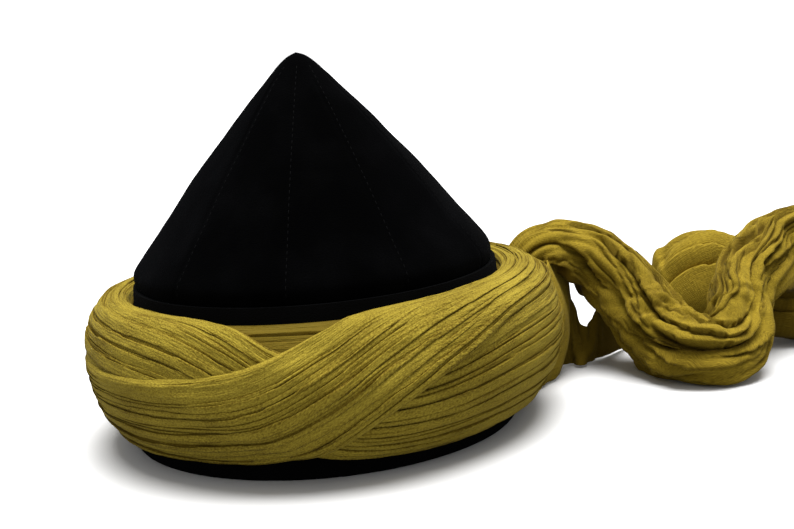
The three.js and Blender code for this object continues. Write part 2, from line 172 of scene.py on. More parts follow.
sun = bpy.data.lights.new("soft_overhead", "SUN")
sun.energy = SUN_STRENGTH
sun.angle = SUN_DISC
overhead = bpy.data.objects.new("soft_overhead", sun)
overhead.rotation_euler = SUN_TILT
bpy.context.scene.collection.objects.link(overhead)

world = bpy.data.worlds.new("studio")
bpy.context.scene.world = world
world.use_nodes = True
sky = world.node_tree
lighting = sky.nodes["Background"]
lighting.inputs["Color"].default_value = grey(1)
lighting.inputs["Strength"].default_value = SKY_LIGHT
backdrop = node(sky, "ShaderNodeBackground", {"Color": grey(1), "Strength": BACKDROP_GLOW})
seen = node(sky, "ShaderNodeLightPath")
either = node(sky, "ShaderNodeMixShader")
sky.links.new(seen.outputs["Is Camera Ray"], either.inputs["Fac"])
sky.links.new(lighting.outputs["Background"], either.inputs[1])
sky.links.new(backdrop.outputs["Background"], either.inputs[2])
sky.links.new(either.outputs["Shader"], sky.nodes["World Output"].inputs["Surface"])
bpy.context.scene.view_settings.view_transform = "Standard"
print("floor and light are set")

# %% [markdown]
# ## Small helpers for modelling by hand
# Blender's edit tools act on what is selected. These helpers select vertices or edges of the
# active mesh by where they are, as a hand would with the mouse. The cap is round, so others start
# a ring round its axis, extrude it upwards and scale it towards the axis.

# %% Select by place
def edit(piece):
    """Open one piece in edit mode."""
    deselect_all()
    bpy.context.view_layer.objects.active = piece
    piece.select_set(True)
    bpy.ops.object.mode_set(mode="EDIT")


def leave_edit():
    bpy.ops.object.mode_set(mode="OBJECT")


def select_vertices(test):
    """Select the vertices of the mesh in edit mode whose place passes the test."""
    mesh = bpy.context.edit_object.data
    shape = bmesh.from_edit_mesh(mesh)
    bpy.ops.mesh.select_all(action="DESELECT")
    bpy.ops.mesh.select_mode(type="VERT")
    place = bpy.context.edit_object.matrix_world
    picked = 0
    for vertex in shape.verts:
        if test(place @ vertex.co):
            vertex.select = True
            picked += 1
    shape.select_flush(True)
    bmesh.update_edit_mesh(mesh)
    return picked


def select_edges(test):
    """Select the edges of the mesh in edit mode whose two ends pass the test."""
    mesh = bpy.context.edit_object.data
    shape = bmesh.from_edit_mesh(mesh)
    bpy.ops.mesh.select_all(action="DESELECT")
    bpy.ops.mesh.select_mode(type="EDGE")
    place = bpy.context.edit_object.matrix_world
    picked = 0
    for edge in shape.edges:
        if test(place @ edge.verts[0].co, place @ edge.verts[1].co):
            edge.select = True
            picked += 1
    shape.select_flush_mode()
    bmesh.update_edit_mesh(mesh)
    return picked


def apply_modifier(piece, kind, **settings):
    """Put a modifier with these settings on a piece and apply it."""
    modifier = piece.modifiers.new(kind.lower(), kind)
    for name, value in settings.items():
        setattr(modifier, name, value)
    deselect_all()
    bpy.context.view_layer.objects.active = piece
    piece.select_set(True)
    bpy.ops.object.modifier_apply(modifier=modifier.name)


def settle(piece):
    """Put the object's place into its mesh, so that the object itself sits at the origin."""
    deselect_all()
    bpy.context.view_layer.objects.active = piece
    piece.select_set(True)
    bpy.ops.object.transform_apply(location=True, rotation=True, scale=True)


# %% Work round the cap's axis
SAME_HEIGHT = 1e-4
SAME_BEARING = 0.1


def bearing(point):
    """Degrees round the cap from the front, positive to the right, and distance from its axis."""
    x, y = point.x - AXIS.x, point.y - AXIS.y
    return math.degrees(math.atan2(x, -y)), math.hypot(x, y)


def start_ring(name, sides, radius, height, turn=0):
    """A ring of edges round the axis, in edit mode and selected, ready to be extruded."""
    deselect_all()
    bpy.ops.mesh.primitive_circle_add(
        vertices=sides,
        radius=radius,
        fill_type="NOTHING",
        location=(AXIS.x, AXIS.y, height),
        rotation=(0, 0, turn),
    )
    piece = bpy.context.object
    piece.name = name
    edit(piece)
    bpy.ops.mesh.select_all(action="SELECT")
    return piece


def extrude_up(rise):
    bpy.ops.mesh.extrude_region_move(TRANSFORM_OT_translate={"value": (0, 0, rise)})


def scale_round_axis(factor, height):
    """Scale the selection towards the axis or away from it."""
    bpy.ops.transform.resize(
        value=(factor, factor, 1), center_override=(AXIS.x, AXIS.y, height)
    )


# %% [markdown]
# ## Smooth curves through short tables
# The forms of the cap are kept as short tables of named rows. A smooth curve runs through the rows,
# so that a piece can be made as finely as it needs.

# %% Read a table smoothly
def hermite(start, end, slope_start, slope_end, t):
    """The smooth curve between two values that has these slopes at its ends."""
    return (
        (2 * t**3 - 3 * t**2 + 1) * start
        + (t**3 - 2 * t**2 + t) * slope_start
        + (3 * t**2 - 2 * t**3) * end
        + (t**3 - t**2) * slope_end
    )


def from_rows(values, place):
    """A smooth value at a place along a list, counted in rows."""
    values = np.asarray(values, float)
    last = len(values) - 1
    row = np.clip(np.floor(place), 0, last - 1).astype(int)
    t = np.clip(place - row, 0, 1)

    def value(i):
        return values[np.clip(i, 0, last)]

    slope = (value(row + 1) - value(row - 1)) / 2
    next_slope = (value(row + 2) - value(row)) / 2
    return hermite(value(row), value(row + 1), slope, next_slope, t)


# %% [markdown]
# ## The velvet crown
# The real crown is sewn from ten gores, wide at the band and pointed at the top. It could be one
# smooth cone, but the gores are a little flatter than a cone between their seams, and each seam
# lies in a fine groove. So a ring of edges is extruded upwards row by row and drawn in, the middle
# of each gore is pulled in, and the edges along the seams are bevelled and sunk.

# %% Extrude the crown's rows
GORES = 10
GORE_FACETS = 6
FIRST_SEAM = -10
BAND_TOP = 0.0765
CROWN_FOOT = 0.0768
CROWN_RADIUS = 0.0887
CROWN_HEIGHT = 0.106
CROWN_ROWS = [
    # share of the radius, share of the height, how flat the gores are
    (0.99, 0.0, 0.05), (0.998, 0.025, 0.12), (1.0, 0.055, 0.2), (0.985, 0.085, 0.3),
    (0.945, 0.13, 0.38), (0.83, 0.25, 0.45), (0.68, 0.41, 0.45), (0.52, 0.57, 0.42),
    (0.35, 0.73, 0.36), (0.2, 0.865, 0.28), (0.1, 0.95, 0.15), (0.045, 0.985, 0.0),
]

CROWN_STEPS = 34
steps = np.linspace(0, len(CROWN_ROWS) - 1, CROWN_STEPS)
CROWN_LINE = list(zip(*(from_rows(column, steps) for column in zip(*CROWN_ROWS))))

crown = start_ring(
    "crown_velvet",
    GORES * GORE_FACETS,
    CROWN_RADIUS * CROWN_LINE[0][0],
    CROWN_FOOT,
    math.radians(FIRST_SEAM),
)
for before, row in zip(CROWN_LINE, CROWN_LINE[1:]):
    extrude_up(CROWN_HEIGHT * (row[1] - before[1]))
    scale_round_axis(row[0] / before[0], CROWN_FOOT + CROWN_HEIGHT * row[1])
leave_edit()
print("the crown has", len(crown.data.vertices), "points in", len(CROWN_LINE), "rows")

# %% Flatten the gores between their seams
HALF_GORE = 180 / GORES


def from_seam(degrees):
    """Degrees from the nearest seam."""
    around = (degrees - FIRST_SEAM) % (2 * HALF_GORE)
    return min(around, 2 * HALF_GORE - around)


edit(crown)
for share, up, flat in CROWN_LINE:
    height = CROWN_FOOT + CROWN_HEIGHT * up
    for facet in range(1, GORE_FACETS // 2 + 1):
        offset = facet * 2 * HALF_GORE / GORE_FACETS
        panel = math.cos(math.radians(HALF_GORE)) / math.cos(math.radians(HALF_GORE - offset))
        drawn_in = 1 - flat * (1 - panel)
        select_vertices(
            lambda p: abs(p.z - height) < SAME_HEIGHT
            and abs(from_seam(bearing(p)[0]) - offset) < SAME_BEARING
        )
        scale_round_axis(drawn_in, height)
leave_edit()
print("each gore has", GORE_FACETS, "facets")

# %% Sink the seams and close the tip
SEAM_HALF_WIDTH = 0.0011
SEAM_DEPTH = 0.0007
SEAM_TOP_RADIUS = 0.014
SUNK_TOP_RADIUS = 0.0154
MERGED = 1e-5


def on_seam(point):
    return from_seam(bearing(point)[0]) < SAME_BEARING


edit(crown)
seams = select_edges(
    lambda a, b: on_seam(a)
    and on_seam(b)
    and abs(a.z - b.z) > SAME_HEIGHT
    and min(bearing(a)[1], bearing(b)[1]) > SEAM_TOP_RADIUS
)
bpy.ops.mesh.bevel(offset=SEAM_HALF_WIDTH, offset_type="OFFSET", segments=2, profile=0.5)
for share, up, flat in CROWN_LINE:
    radius, height = CROWN_RADIUS * share, CROWN_FOOT + CROWN_HEIGHT * up
    if radius < SUNK_TOP_RADIUS:
        continue
    select_vertices(lambda p: abs(p.z - height) < SAME_HEIGHT and on_seam(p))
    scale_round_axis(1 - SEAM_DEPTH / radius, height)
top_row = CROWN_FOOT + CROWN_HEIGHT * CROWN_LINE[-1][1]
select_edges(
    lambda a, b: abs(a.z - top_row) < SAME_HEIGHT and abs(b.z - top_row) < SAME_HEIGHT
)
extrude_up(CROWN_HEIGHT * (1 - CROWN_LINE[-1][1]))
bpy.ops.mesh.merge(type="CENTER")
bpy.ops.mesh.select_all(action="SELECT")
bpy.ops.mesh.remove_doubles(threshold=MERGED)
bpy.ops.mesh.normals_make_consistent(inside=False)
leave_edit()
print(seams, "edges along the seams were bevelled")

# %% Round the crown and give it its wall
CROWN_WALL = 0.0025
UNEVEN_SIZE = 0.035
UNEVEN_DEPTH = 0.0016

settle(crown)
apply_modifier(crown, "SUBSURF", levels=1, render_levels=1)
softness = bpy.data.textures.new("velvet_softness", "CLOUDS")
softness.noise_scale = UNEVEN_SIZE
softness.noise_depth = 2
apply_modifier(
    crown,
    "DISPLACE",
    texture=softness,
    texture_coords="LOCAL",
    strength=UNEVEN_DEPTH,
    mid_level=0.5,
)
apply_modifier(
    crown, "SOLIDIFY", thickness=CROWN_WALL, offset=-1, use_even_offset=True, material_offset=1
)
bpy.ops.object.shade_smooth()
print("the crown has", len(crown.data.polygons), "faces")

# %% [markdown]
# ## The side band
# The band is stiffened cloth with velvet over it: a short, slightly tapered wall whose lower edge
# is turned and rounded. A ring of edges is extruded in a few rows, given its wall, and the two
# edges at the rim are bevelled round.

# %% Extrude the side band
RIM_RADIUS = 0.096
BAND_TOP_RADIUS = 0.0895
BAND_SIDES = 128
BAND_ROWS = 6
BAND_WALL = 0.003
RIM_ROUNDING = 0.0011
SHARPEST_SHADED = math.radians(50)


def row_radius(row):
    return RIM_RADIUS + (BAND_TOP_RADIUS - RIM_RADIUS) * row / BAND_ROWS


band = start_ring("side_band_velvet", BAND_SIDES, RIM_RADIUS, 0)
for row in range(1, BAND_ROWS + 1):
    extrude_up(BAND_TOP / BAND_ROWS)
    scale_round_axis(row_radius(row) / row_radius(row - 1), BAND_TOP * row / BAND_ROWS)
bpy.ops.mesh.select_all(action="SELECT")
bpy.ops.mesh.normals_make_consistent(inside=False)
leave_edit()
apply_modifier(band, "SOLIDIFY", thickness=BAND_WALL, offset=-1, material_offset=1)
edit(band)
select_edges(
    lambda a, b: max(a.z, b.z) < SAME_HEIGHT
    and abs(bearing(a)[1] - bearing(b)[1]) < BAND_WALL / 3
)
bpy.ops.mesh.bevel(offset=RIM_ROUNDING, segments=3, profile=0.5)
leave_edit()
settle(band)
bpy.ops.object.shade_smooth_by_angle(angle=SHARPEST_SHADED)
print("the side band has", len(band.data.polygons), "faces")

# %% [markdown]
# ## The stitches beside the seams
# Each seam of the crown is sewn down with a row of small stitches on its right. One stitch is a
# short rounded thread. It is copied along the seams, where a ray towards the axis finds the
# velvet, and turned to lie along the slope.

# %% Sew the crown
STITCH_LENGTH = 0.0019
STITCH_RADIUS = 0.00016
STITCH_PITCH = 0.0034
STITCH_ASIDE = 0.0017
STITCH_LOW = 0.004
STITCH_HIGH = 0.099

deselect_all()
bpy.ops.mesh.primitive_uv_sphere_add(segments=8, ring_count=6, radius=STITCH_RADIUS)
first_stitch = bpy.context.object
edit(first_stitch)
for end in (1, -1):
    select_vertices(lambda p: p.z * end > MERGED)
    bpy.ops.transform.translate(value=(0, 0, end * (STITCH_LENGTH / 2 - STITCH_RADIUS)))
leave_edit()
bpy.ops.object.shade_smooth()


def velvet_at(degrees, height):
    """The point and slope of the crown's outside, seen from beside the seam at these degrees."""
    angle = math.radians(degrees)
    outward = Vector((math.sin(angle), -math.cos(angle), 0))
    beside = Vector((math.cos(angle), math.sin(angle), 0)) * STITCH_ASIDE
    start = Vector((AXIS.x, AXIS.y, height)) + outward * 2 * CROWN_RADIUS + beside
    _, point, normal, _ = crown.ray_cast(start, -outward)
    return point, normal.cross(outward.cross(Vector((0, 0, 1)))).normalized()


stitches = []
for gore in range(GORES):
    seam_at = FIRST_SEAM + gore * 2 * HALF_GORE
    height = CROWN_FOOT + STITCH_LOW
    while height < CROWN_FOOT + STITCH_HIGH:
        point, slope = velvet_at(seam_at, height)
        stitch = first_stitch.copy()
        stitch.data = first_stitch.data.copy()
        bpy.context.scene.collection.objects.link(stitch)
        turn = slope.to_track_quat("Z", "Y").to_matrix().to_4x4()
        stitch.matrix_world = Matrix.Translation(point) @ turn
        stitches.append(stitch)
        height += STITCH_PITCH * abs(slope.z)
bpy.data.objects.remove(first_stitch)
deselect_all()
for stitch in stitches:
    stitch.select_set(True)
bpy.context.view_layer.objects.active = stitches[0]
bpy.ops.object.join()
seam_thread = bpy.context.object
seam_thread.name = "crown_stitches"
settle(seam_thread)
print("the crown has", len(stitches), "stitches")

# %% [markdown]
# ## The wound cloth: its form
# The winding stands out from the band like a soft ring. Its outline, from the band over the
# outside and back to the band, is a short table, and a lap of cloth is a strip on that ring whose
# upper and lower edges wander round the cap. Both are read with smooth curves between the rows.
# A strip is a grid of points, so that the folds can be worked into it as heights.

# %% Read the tables smoothly
WINDING_FOOT = 0.0115
WINDING_HEIGHT = 0.0575
WINDING_BULGE = 0.0235
LEFT_SLACK = 0.0055
SEAT_GAP = 0.0003
SLOPE_STEP = 0.02
OUTLINE_UP = [1.0, 1.0, 1.0, 0.965, 0.86, 0.72, 0.56, 0.4, 0.24, 0.1, 0.02, 0.01]
OUTLINE_OUT = [0.0, 0.22, 0.45, 0.7, 0.9, 0.99, 0.99, 0.9, 0.71, 0.45, 0.22, 0.0]


def round_course(course, column, degrees):
    """A smooth value from a course that runs once round the cap."""
    at = np.array([row[0] for row in course], float)
    values = np.array([row[column] for row in course], float)
    at = np.concatenate([at[-2:] - 360, at, at[:3] + 360])
    values = np.concatenate([values[-2:], values, values[:3]])
    degrees = (np.asarray(degrees) - at[2]) % 360 + at[2]
    row = np.clip(np.searchsorted(at, degrees, side="right") - 1, 1, len(at) - 3)
    span = at[row + 1] - at[row]
    t = (degrees - at[row]) / span
    slope = (values[row + 1] - values[row - 1]) / (at[row + 1] - at[row - 1]) * span
    next_slope = (values[row + 2] - values[row]) / (at[row + 2] - at[row]) * span
    return hermite(values[row], values[row + 1], slope, next_slope, t)


# %% Find a point on the winding
def band_radius(height):
    return RIM_RADIUS + (BAND_TOP_RADIUS - RIM_RADIUS) * np.minimum(1, height / BAND_TOP)


def outline_point(degrees, share):
    """Radius and height of the winding's outside at a share of its outline from the top."""
    place = np.clip(share, 0, 1) * (len(OUTLINE_UP) - 1)
    bulge = WINDING_BULGE - LEFT_SLACK * (0.5 - 0.5 * np.sin(np.radians(degrees)))
    height = WINDING_FOOT + WINDING_HEIGHT * from_rows(OUTLINE_UP, place)
    return band_radius(height) + SEAT_GAP + bulge * from_rows(OUTLINE_OUT, place), height


def winding_point(degrees, share, lift):
    """A point on the winding's outside, lifted along the outline's normal."""
    radius_above, height_above = outline_point(degrees, share - SLOPE_STEP)
    radius_below, height_below = outline_point(degrees, share + SLOPE_STEP)
    widening = radius_below - radius_above
    rising = height_below - height_above
    length = np.hypot(widening, rising)
    radius, height = outline_point(degrees, share)
    radius = radius - rising / length * lift
    height = height + widening / length * lift
    radius = np.maximum(radius, band_radius(height) + SEAT_GAP)
    angle = np.radians(degrees)
    return np.stack(
        [AXIS.x + radius * np.sin(angle), AXIS.y - radius * np.cos(angle), height], -1
    )


# %% [markdown]
# ## The wound cloth: its folds
# Gathered cloth is a bundle of long soft rolls with narrow creases between them. A crease is a
# wandering line along the strip that opens and closes again, so it is kept as a row with its
# place, its reach, its width and its depth. Where a line runs, the surface drops in a sharp
# valley, and one side of it stands higher, as where one fold lies over the next. Along the line a
# mask of painted shade darkens the colour, most on the side that lies below. Stretched noise adds
# the fine crinkle between the creases.

# %% Work creases and crinkles as heights
MOST_OVERLAP = 0.0010  # how far one side of a crease may lie over the other
CREASE_LINE = 0.0007  # the widest line of painted shade along a crease
LIP_RISE = 0.4  # rise of the side on top, as a share of the crease's depth
LIP_REACH = 2.5  # reach of that rise, in widths of the crease
VALLEY_SHARPNESS = 0.9  # less than 1 for a sharper valley
PUSH_REACH = 1.2  # reach of the sideways shift, in overlaps
PUSH_BELOW = 0.4  # shift of the side below, as a share of the other's
SHADE_ON_TOP = 0.35  # how much painted shade the side on top gets, where the side below gets 1
UPPER_SIDE_ODDS = [0.3, 0.7]  # of the upper and of the lower side to lie on top
SECOND_WAVE = 2.6  # waves of the finer wander for each wave of the broad one
LEAST_WANDER = 0.4  # share of the row's wander
OPENING = 0.06  # share of the way round over which a crease opens
SHADE_WIDTH = 0.6  # width of the line of painted shade, in widths of the crease
SOFTENING_PASSES = 3


def smooth_rise(value, start, end):
    """From 0 at the start to 1 at the end, with soft ends."""
    t = np.clip((value - start) / (end - start), 0, 1)
    return t * t * (3 - 2 * t)


def value_noise(seed, u, v, cells_u, cells_v):
    """Smooth noise from -1 to 1 on a grid of cells that closes round in u, where u runs 0 to 1."""
    table = np.random.default_rng(seed).uniform(-1, 1, (cells_u, cells_v + 3))
    place_u = np.asarray(u) * cells_u
    place_v = np.clip(np.asarray(v), 0, 1) * cells_v
    cell_u = np.floor(place_u).astype(int)
    cell_v = np.floor(place_v).astype(int)
    part_u = smooth_rise(place_u - cell_u, 0, 1)
    part_v = smooth_rise(place_v - cell_v, 0, 1)

    def at_line(line):
        here, there = table[cell_u % cells_u, line], table[(cell_u + 1) % cells_u, line]
        return here * (1 - part_u) + there * part_u

    return at_line(cell_v) * (1 - part_v) + at_line(cell_v + 1) * part_v


def fold_over(distance, side, depth, width, overlap):
    """Rise and sideways shift near a crease where the cloth on one side lies over the other."""
    away = np.abs(distance)
    on_top = distance * side > 0
    raised = LIP_RISE * np.exp(-away / (LIP_REACH * width))
    sunk = -np.exp(-((away / width) ** VALLEY_SHARPNESS))
    pushed = np.where(on_top, -side, PUSH_BELOW * side) * np.exp(-away / (PUSH_REACH * overlap))
    return depth * np.where(on_top, raised, sunk), overlap * pushed


def shade_of(distance, side, narrow):
    """How much painted shade the cloth gets by a crease: most on the side that lies below."""
    darkness = np.where(distance * side > 0, SHADE_ON_TOP, 1.0)
    return darkness * np.exp(-((distance / narrow) ** 2))


def spread(seed, count, jitter):
    """Places from edge to edge, evenly spread and then shaken a little."""
    draw = np.random.default_rng(seed)
    even = (np.arange(count) + 0.5) / count
    return even + draw.uniform(-jitter, jitter, count) / count


def creases_from(table):
    """Creases across a strip, drawn by chance within the ranges of each row of a table. Each
    crease has its place across, the middle and the reach of its line round the strip, its depth
    and width, the side that lies on top, and how its line wanders."""
    creases = []
    for seed, count, jitter, depth, width, reach, wander in table:
        draw = np.random.default_rng(seed)
        for place in spread(seed + 1, count, jitter):
            creases.append(
                {
                    "across": place,
                    "middle": draw.uniform(0, 1),
                    "reach": draw.uniform(*reach),
                    "depth": draw.uniform(*depth),
                    "width": draw.uniform(*width),
                    "side": draw.choice([-1, 1], p=UPPER_SIDE_ODDS),
                    "wander": wander * draw.uniform(LEAST_WANDER, 1),
                    "waves": draw.uniform(1, 4),
                    "phase": draw.uniform(0, 2 * math.pi),
                }
            )
    return creases


def crease_heights(table, u, v, breadth):
    """Height, shift across and mask of painted shade of a strip at u round it and v across it."""
    height = np.zeros(np.broadcast(u, v).shape)
    shift = np.zeros_like(height)
    mask = np.zeros_like(height)
    for row in creases_from(table):
        waves = 2 * math.pi * np.round(row["waves"])
        more_waves = 2 * math.pi * np.round(SECOND_WAVE * row["waves"])
        line = row["across"] + row["wander"] * (
            np.sin(waves * u + row["phase"]) + 0.5 * np.sin(more_waves * u + 2 * row["phase"])
        )
        away = np.abs((u - row["middle"] + 0.5) % 1 - 0.5)
        open_here = smooth_rise(row["reach"] / 2 - away, 0, OPENING)
        distance = (v - line) * breadth
        overlap = min(row["width"], MOST_OVERLAP)
        rise, push = fold_over(distance, row["side"], row["depth"], row["width"], overlap)
        height += open_here * rise
        shift += open_here * push
        # the dark line along the crease is painted shade, kept in a mask that darkens the colour
        narrow = min(SHADE_WIDTH * row["width"], CREASE_LINE)
        mask = np.maximum(mask, open_here * shade_of(distance, row["side"], narrow))
    return softened(height), softened(shift), softened(mask)


def softened(field):
    """The same field, evened out a little along the strip, which closes round."""
    for _ in range(SOFTENING_PASSES):
        field = 0.5 * field + 0.25 * (np.roll(field, 1, 0) + np.roll(field, -1, 0))
    return field


# %% [markdown]
# ## From a grid of points to a mesh
# A wound or gathered piece is a row of closed loops of points. The grid is joined into quads, gets
# a UV map in metres of real cloth, so that the weave has one scale everywhere, and carries its
# painted shade, along the creases and elsewhere, as an attribute named crease that the material
# reads. An open sheet is made from a grid as well.

# %% Make a mesh from a grid of points
def grid_corners(bands, sides):
    """Row and column of the four corners of each quad of a grid."""
    i, j = np.meshgrid(np.arange(bands), np.arange(sides), indexing="ij")
    return [(i, j), (i + 1, j), (i + 1, j + 1), (i, j + 1)]


def grid_faces(corners, count, sides):
    """The quads as numbers of points, where the last row and column close on the first."""
    faces = np.stack([(a % count) * sides + b % sides for a, b in corners], -1)
    return faces.reshape(-1, 4).tolist()


def grid_uv(corners, along, across):
    """The UV map of the quads, from metres along the cloth and across it."""
    uv = np.stack([np.stack([along[a, b], across[a, b]], -1) for a, b in corners], axis=2)
    return uv.reshape(-1, 2)


def cloth_piece(name, points, faces, uv, crease):
    """A new piece of cloth with its UV map and its painted shade as an attribute."""
    mesh = bpy.data.meshes.new(name)
    mesh.from_pydata(points.tolist(), [], faces)
    layer = mesh.uv_layers.new(name="cloth")
    layer.data.foreach_set("uv", uv.astype(np.float32).ravel())
    # the attribute named crease holds the painted shade of the piece
    depth = mesh.attributes.new("crease", "FLOAT", "POINT")
    depth.data.foreach_set("value", crease.astype(np.float32).ravel())
    piece = bpy.data.objects.new(name, mesh)
    bpy.context.scene.collection.objects.link(piece)
    return piece


def mesh_from_loops(name, loops, along, round_loop, crease, closed):
    """One closed mesh from loops of points, which close on each other or get an end each."""
    count, sides, _ = loops.shape
    corners = grid_corners(count if closed else count - 1, sides)
    faces = grid_faces(corners, count, sides)
    uv = grid_uv(corners, along, round_loop)
    points = loops.reshape(-1, 3)
    crease = crease.reshape(-1)
    if not closed:
        points = np.vstack([points, loops[0].mean(0), loops[-1].mean(0)])
        first, last = count * sides, count * sides + 1
        end = (count - 1) * sides
        faces += [[first, (s + 1) % sides, s] for s in range(sides)]
        faces += [[last, end + s, end + (s + 1) % sides] for s in range(sides)]
        uv = np.vstack([uv, np.zeros((6 * sides, 2))])
        crease = np.append(crease, [0, 0])
    piece = cloth_piece(name, points, faces, uv, crease)
    edit(piece)
    bpy.ops.mesh.select_all(action="SELECT")
    bpy.ops.mesh.normals_make_consistent(inside=False)
    leave_edit()
    bpy.ops.object.shade_smooth()
    print(name, "has", len(piece.data.polygons), "faces")
    return piece

# %% [markdown]
# ## The two laps
# One lap of gathered cloth runs up from the lower left over the front to the upper right, and
# covers the other, whose broad soft rolls come down from the upper left and go under it. Each is a
# strip between two courses, with rolled edges that tuck in, and the upper one is lifted where it
# crosses the lower.

# %% Wind the laps
LAP_THICKNESS = 0.0048
LAP_PRESS = 0.65
EDGE_ROLL = 0.0042
OUTLINE_LENGTH = 0.098
MIDDLE_RADIUS = 0.115
STEPS_ROUND = 480
LAP_ROWS = 190
EVEN_SHARE = 0.45
UNDERSIDE_ROWS = 8
UNDERSIDE_INSET = 0.03
UNDERSIDE_SINK = 0.0005
EDGE_TUCK = 0.5
LAP_FULLNESS = 0.95
RAISE_FROM, RAISE_TO = -0.12, 0.22

OVER_COURSE = [
    # degrees from the front, upper and lower edge as shares of the outline
    (-165, 0.36, 0.84), (-130, 0.47, 0.93), (-90, 0.5, 0.94), (-60, 0.49, 0.93),
    (-35, 0.47, 0.93), (-15, 0.41, 0.9), (0, 0.27, 0.8), (14, 0.13, 0.65),
    (28, 0.05, 0.52), (50, 0.03, 0.39), (90, 0.03, 0.38), (130, 0.05, 0.46),
    (165, 0.2, 0.67),
]
UNDER_COURSE = [
    (-165, 0.2, 0.68), (-130, 0.05, 0.58), (-90, 0.03, 0.56), (-60, 0.05, 0.57),
    (-37, 0.1, 0.61), (-22, 0.21, 0.7), (-10, 0.35, 0.8), (4, 0.44, 0.9),
    (20, 0.44, 0.94), (50, 0.33, 0.95), (90, 0.32, 0.95), (130, 0.38, 0.95),
    (165, 0.32, 0.85),
]


def rolled_edge(distance):
    """Share of the full height of a lap at a distance in from its edge, in metres."""
    inward = np.clip(distance / EDGE_ROLL, 0, 1)
    return np.sqrt(1 - (1 - inward) ** 2)


def lap_height(course, degrees, share):
    """Height of a lap's plain form above the winding, 0 outside the lap."""
    upper = round_course(course, 1, degrees)
    lower = round_course(course, 2, degrees)
    inside = np.minimum(share - upper, lower - share) * OUTLINE_LENGTH
    return np.where(inside > 0, LAP_THICKNESS * LAP_FULLNESS * rolled_edge(inside), 0)


def raised_by(course, degrees, share):
    """How much the lap below raises what is wound over it, eased at its edges."""
    upper = round_course(course, 1, degrees)
    lower = round_course(course, 2, degrees)
    inward = np.minimum(share - upper, lower - share) / (lower - upper)
    return LAP_PRESS * LAP_THICKNESS * smooth_rise(inward, RAISE_FROM, RAISE_TO)


def metres_round(columns):
    """Metres along the cloth at each step round the cap, and once more where it closes."""
    lengths = 2 * math.pi * MIDDLE_RADIUS * np.linspace(0, 1, STEPS_ROUND + 1)
    return np.repeat(lengths[:, None], columns, 1)


def wind_lap(name, course, creases, crinkles, below=None):
    """A lap along a course, with its creases, wound over the lap below."""
    degrees = np.linspace(-180, 180, STEPS_ROUND, endpoint=False)[:, None]
    even = np.linspace(0, 1, LAP_ROWS)
    crowded = 0.5 - 0.5 * np.cos(math.pi * even)
    across = EVEN_SHARE * even + (1 - EVEN_SHARE) * crowded
    upper = round_course(course, 1, degrees)
    lower = round_course(course, 2, degrees)
    share = upper + (lower - upper) * across
    breadth = (lower - upper) * OUTLINE_LENGTH
    u = (degrees + 180) / 360
    folds, shift, crease = crease_heights(creases, u, across, breadth)
    edge = rolled_edge(np.minimum(across, 1 - across) * breadth)
    for seed, cells_u, cells_v, size in crinkles:
        folds = folds + size * value_noise(seed, u, across, cells_u, cells_v)
    height = LAP_THICKNESS * ((1 + EDGE_TUCK) * edge - EDGE_TUCK) + folds * edge
    if below is not None:
        height = height + raised_by(below, degrees, share)
    shifted = np.clip(share + shift * edge / OUTLINE_LENGTH, upper, lower)
    outside = winding_point(degrees, shifted, height)
    under_across = np.linspace(1 - UNDERSIDE_INSET, UNDERSIDE_INSET, UNDERSIDE_ROWS)
    under_share = upper + (lower - upper) * under_across
    resting = np.full(under_share.shape, SEAT_GAP)
    if below is not None:
        resting = np.maximum(resting, lap_height(below, degrees, under_share))
    inside = winding_point(degrees, under_share, resting - UNDERSIDE_SINK)
    loops = np.concatenate([outside, inside], 1)
    # painted shade of the creases fades out at the rolled edges; the lap's underside gets none
    crease = np.concatenate([crease * edge, np.zeros(under_share.shape)], 1)
    round_share = np.concatenate([across, under_across, [0.0]])
    round_loop = round_share[None, :] * np.concatenate([breadth, breadth[:1]], 0)
    along = metres_round(loops.shape[1] + 1)
    return mesh_from_loops(name, loops, along, round_loop, crease, closed=True)


# %% Wind the lower lap
UNDER_CREASES = [
    # seed, how many, how much their places are shaken, then from and to: depth, width and
    # reach round the cap, and how far they wander
    (11, 8, 0.35, (0.0007, 0.0013), (0.0024, 0.0038), (0.6, 1.1), 0.010),
    (15, 16, 0.4, (0.0006, 0.0013), (0.0005, 0.0009), (0.3, 0.9), 0.012),
    (13, 34, 0.45, (0.0002, 0.0006), (0.0004, 0.0007), (0.08, 0.35), 0.014),
]
UNDER_CRINKLES = [
    # seed, cells round the cap, cells across, size
    (21, 26, 16, 0.0005), (22, 60, 34, 0.00022), (23, 120, 60, 0.0001),
]

lap_under = wind_lap("lap_under_cloth", UNDER_COURSE, UNDER_CREASES, UNDER_CRINKLES)

# %% Wind the upper lap
OVER_CREASES = [
    (31, 9, 0.35, (0.0005, 0.0009), (0.0020, 0.0034), (0.6, 1.1), 0.010),
    (35, 24, 0.4, (0.0006, 0.0012), (0.0004, 0.0008), (0.3, 0.9), 0.010),
    (33, 44, 0.45, (0.0002, 0.0006), (0.0004, 0.0006), (0.08, 0.35), 0.012),
]
OVER_CRINKLES = [(41, 22, 18, 0.0004), (42, 60, 40, 0.00020), (43, 120, 64, 0.0001)]

lap_over = wind_lap(
    "lap_over_cloth", OVER_COURSE, OVER_CREASES, OVER_CRINKLES, below=UNDER_COURSE
)

# %% [markdown]
# ## The inner winding
# Under the laps the cloth is wound plainly round the band. It shows in the opening between the
# laps at the top of the front, as fine level folds, and fills the ring behind them. It gets a
# darker copy of the cloth's colour, which is painted shade for the shadow that it lies in between
# and behind the laps.

# %% Wind the inner winding
INNER_ROWS = 150
BOUND_EDGE = 0.03
INNER_CREASES = [
    (51, 26, 0.3, (0.0012, 0.0021), (0.0009, 0.0016), (0.6, 1.1), 0.007),
    (53, 40, 0.45, (0.0006, 0.0012), (0.0005, 0.0009), (0.3, 0.9), 0.008),
]
INNER_CRINKLE = 0.0003
INNER_CRINKLE_SEED = 55
INNER_CRINKLE_CELLS = (30, 30)

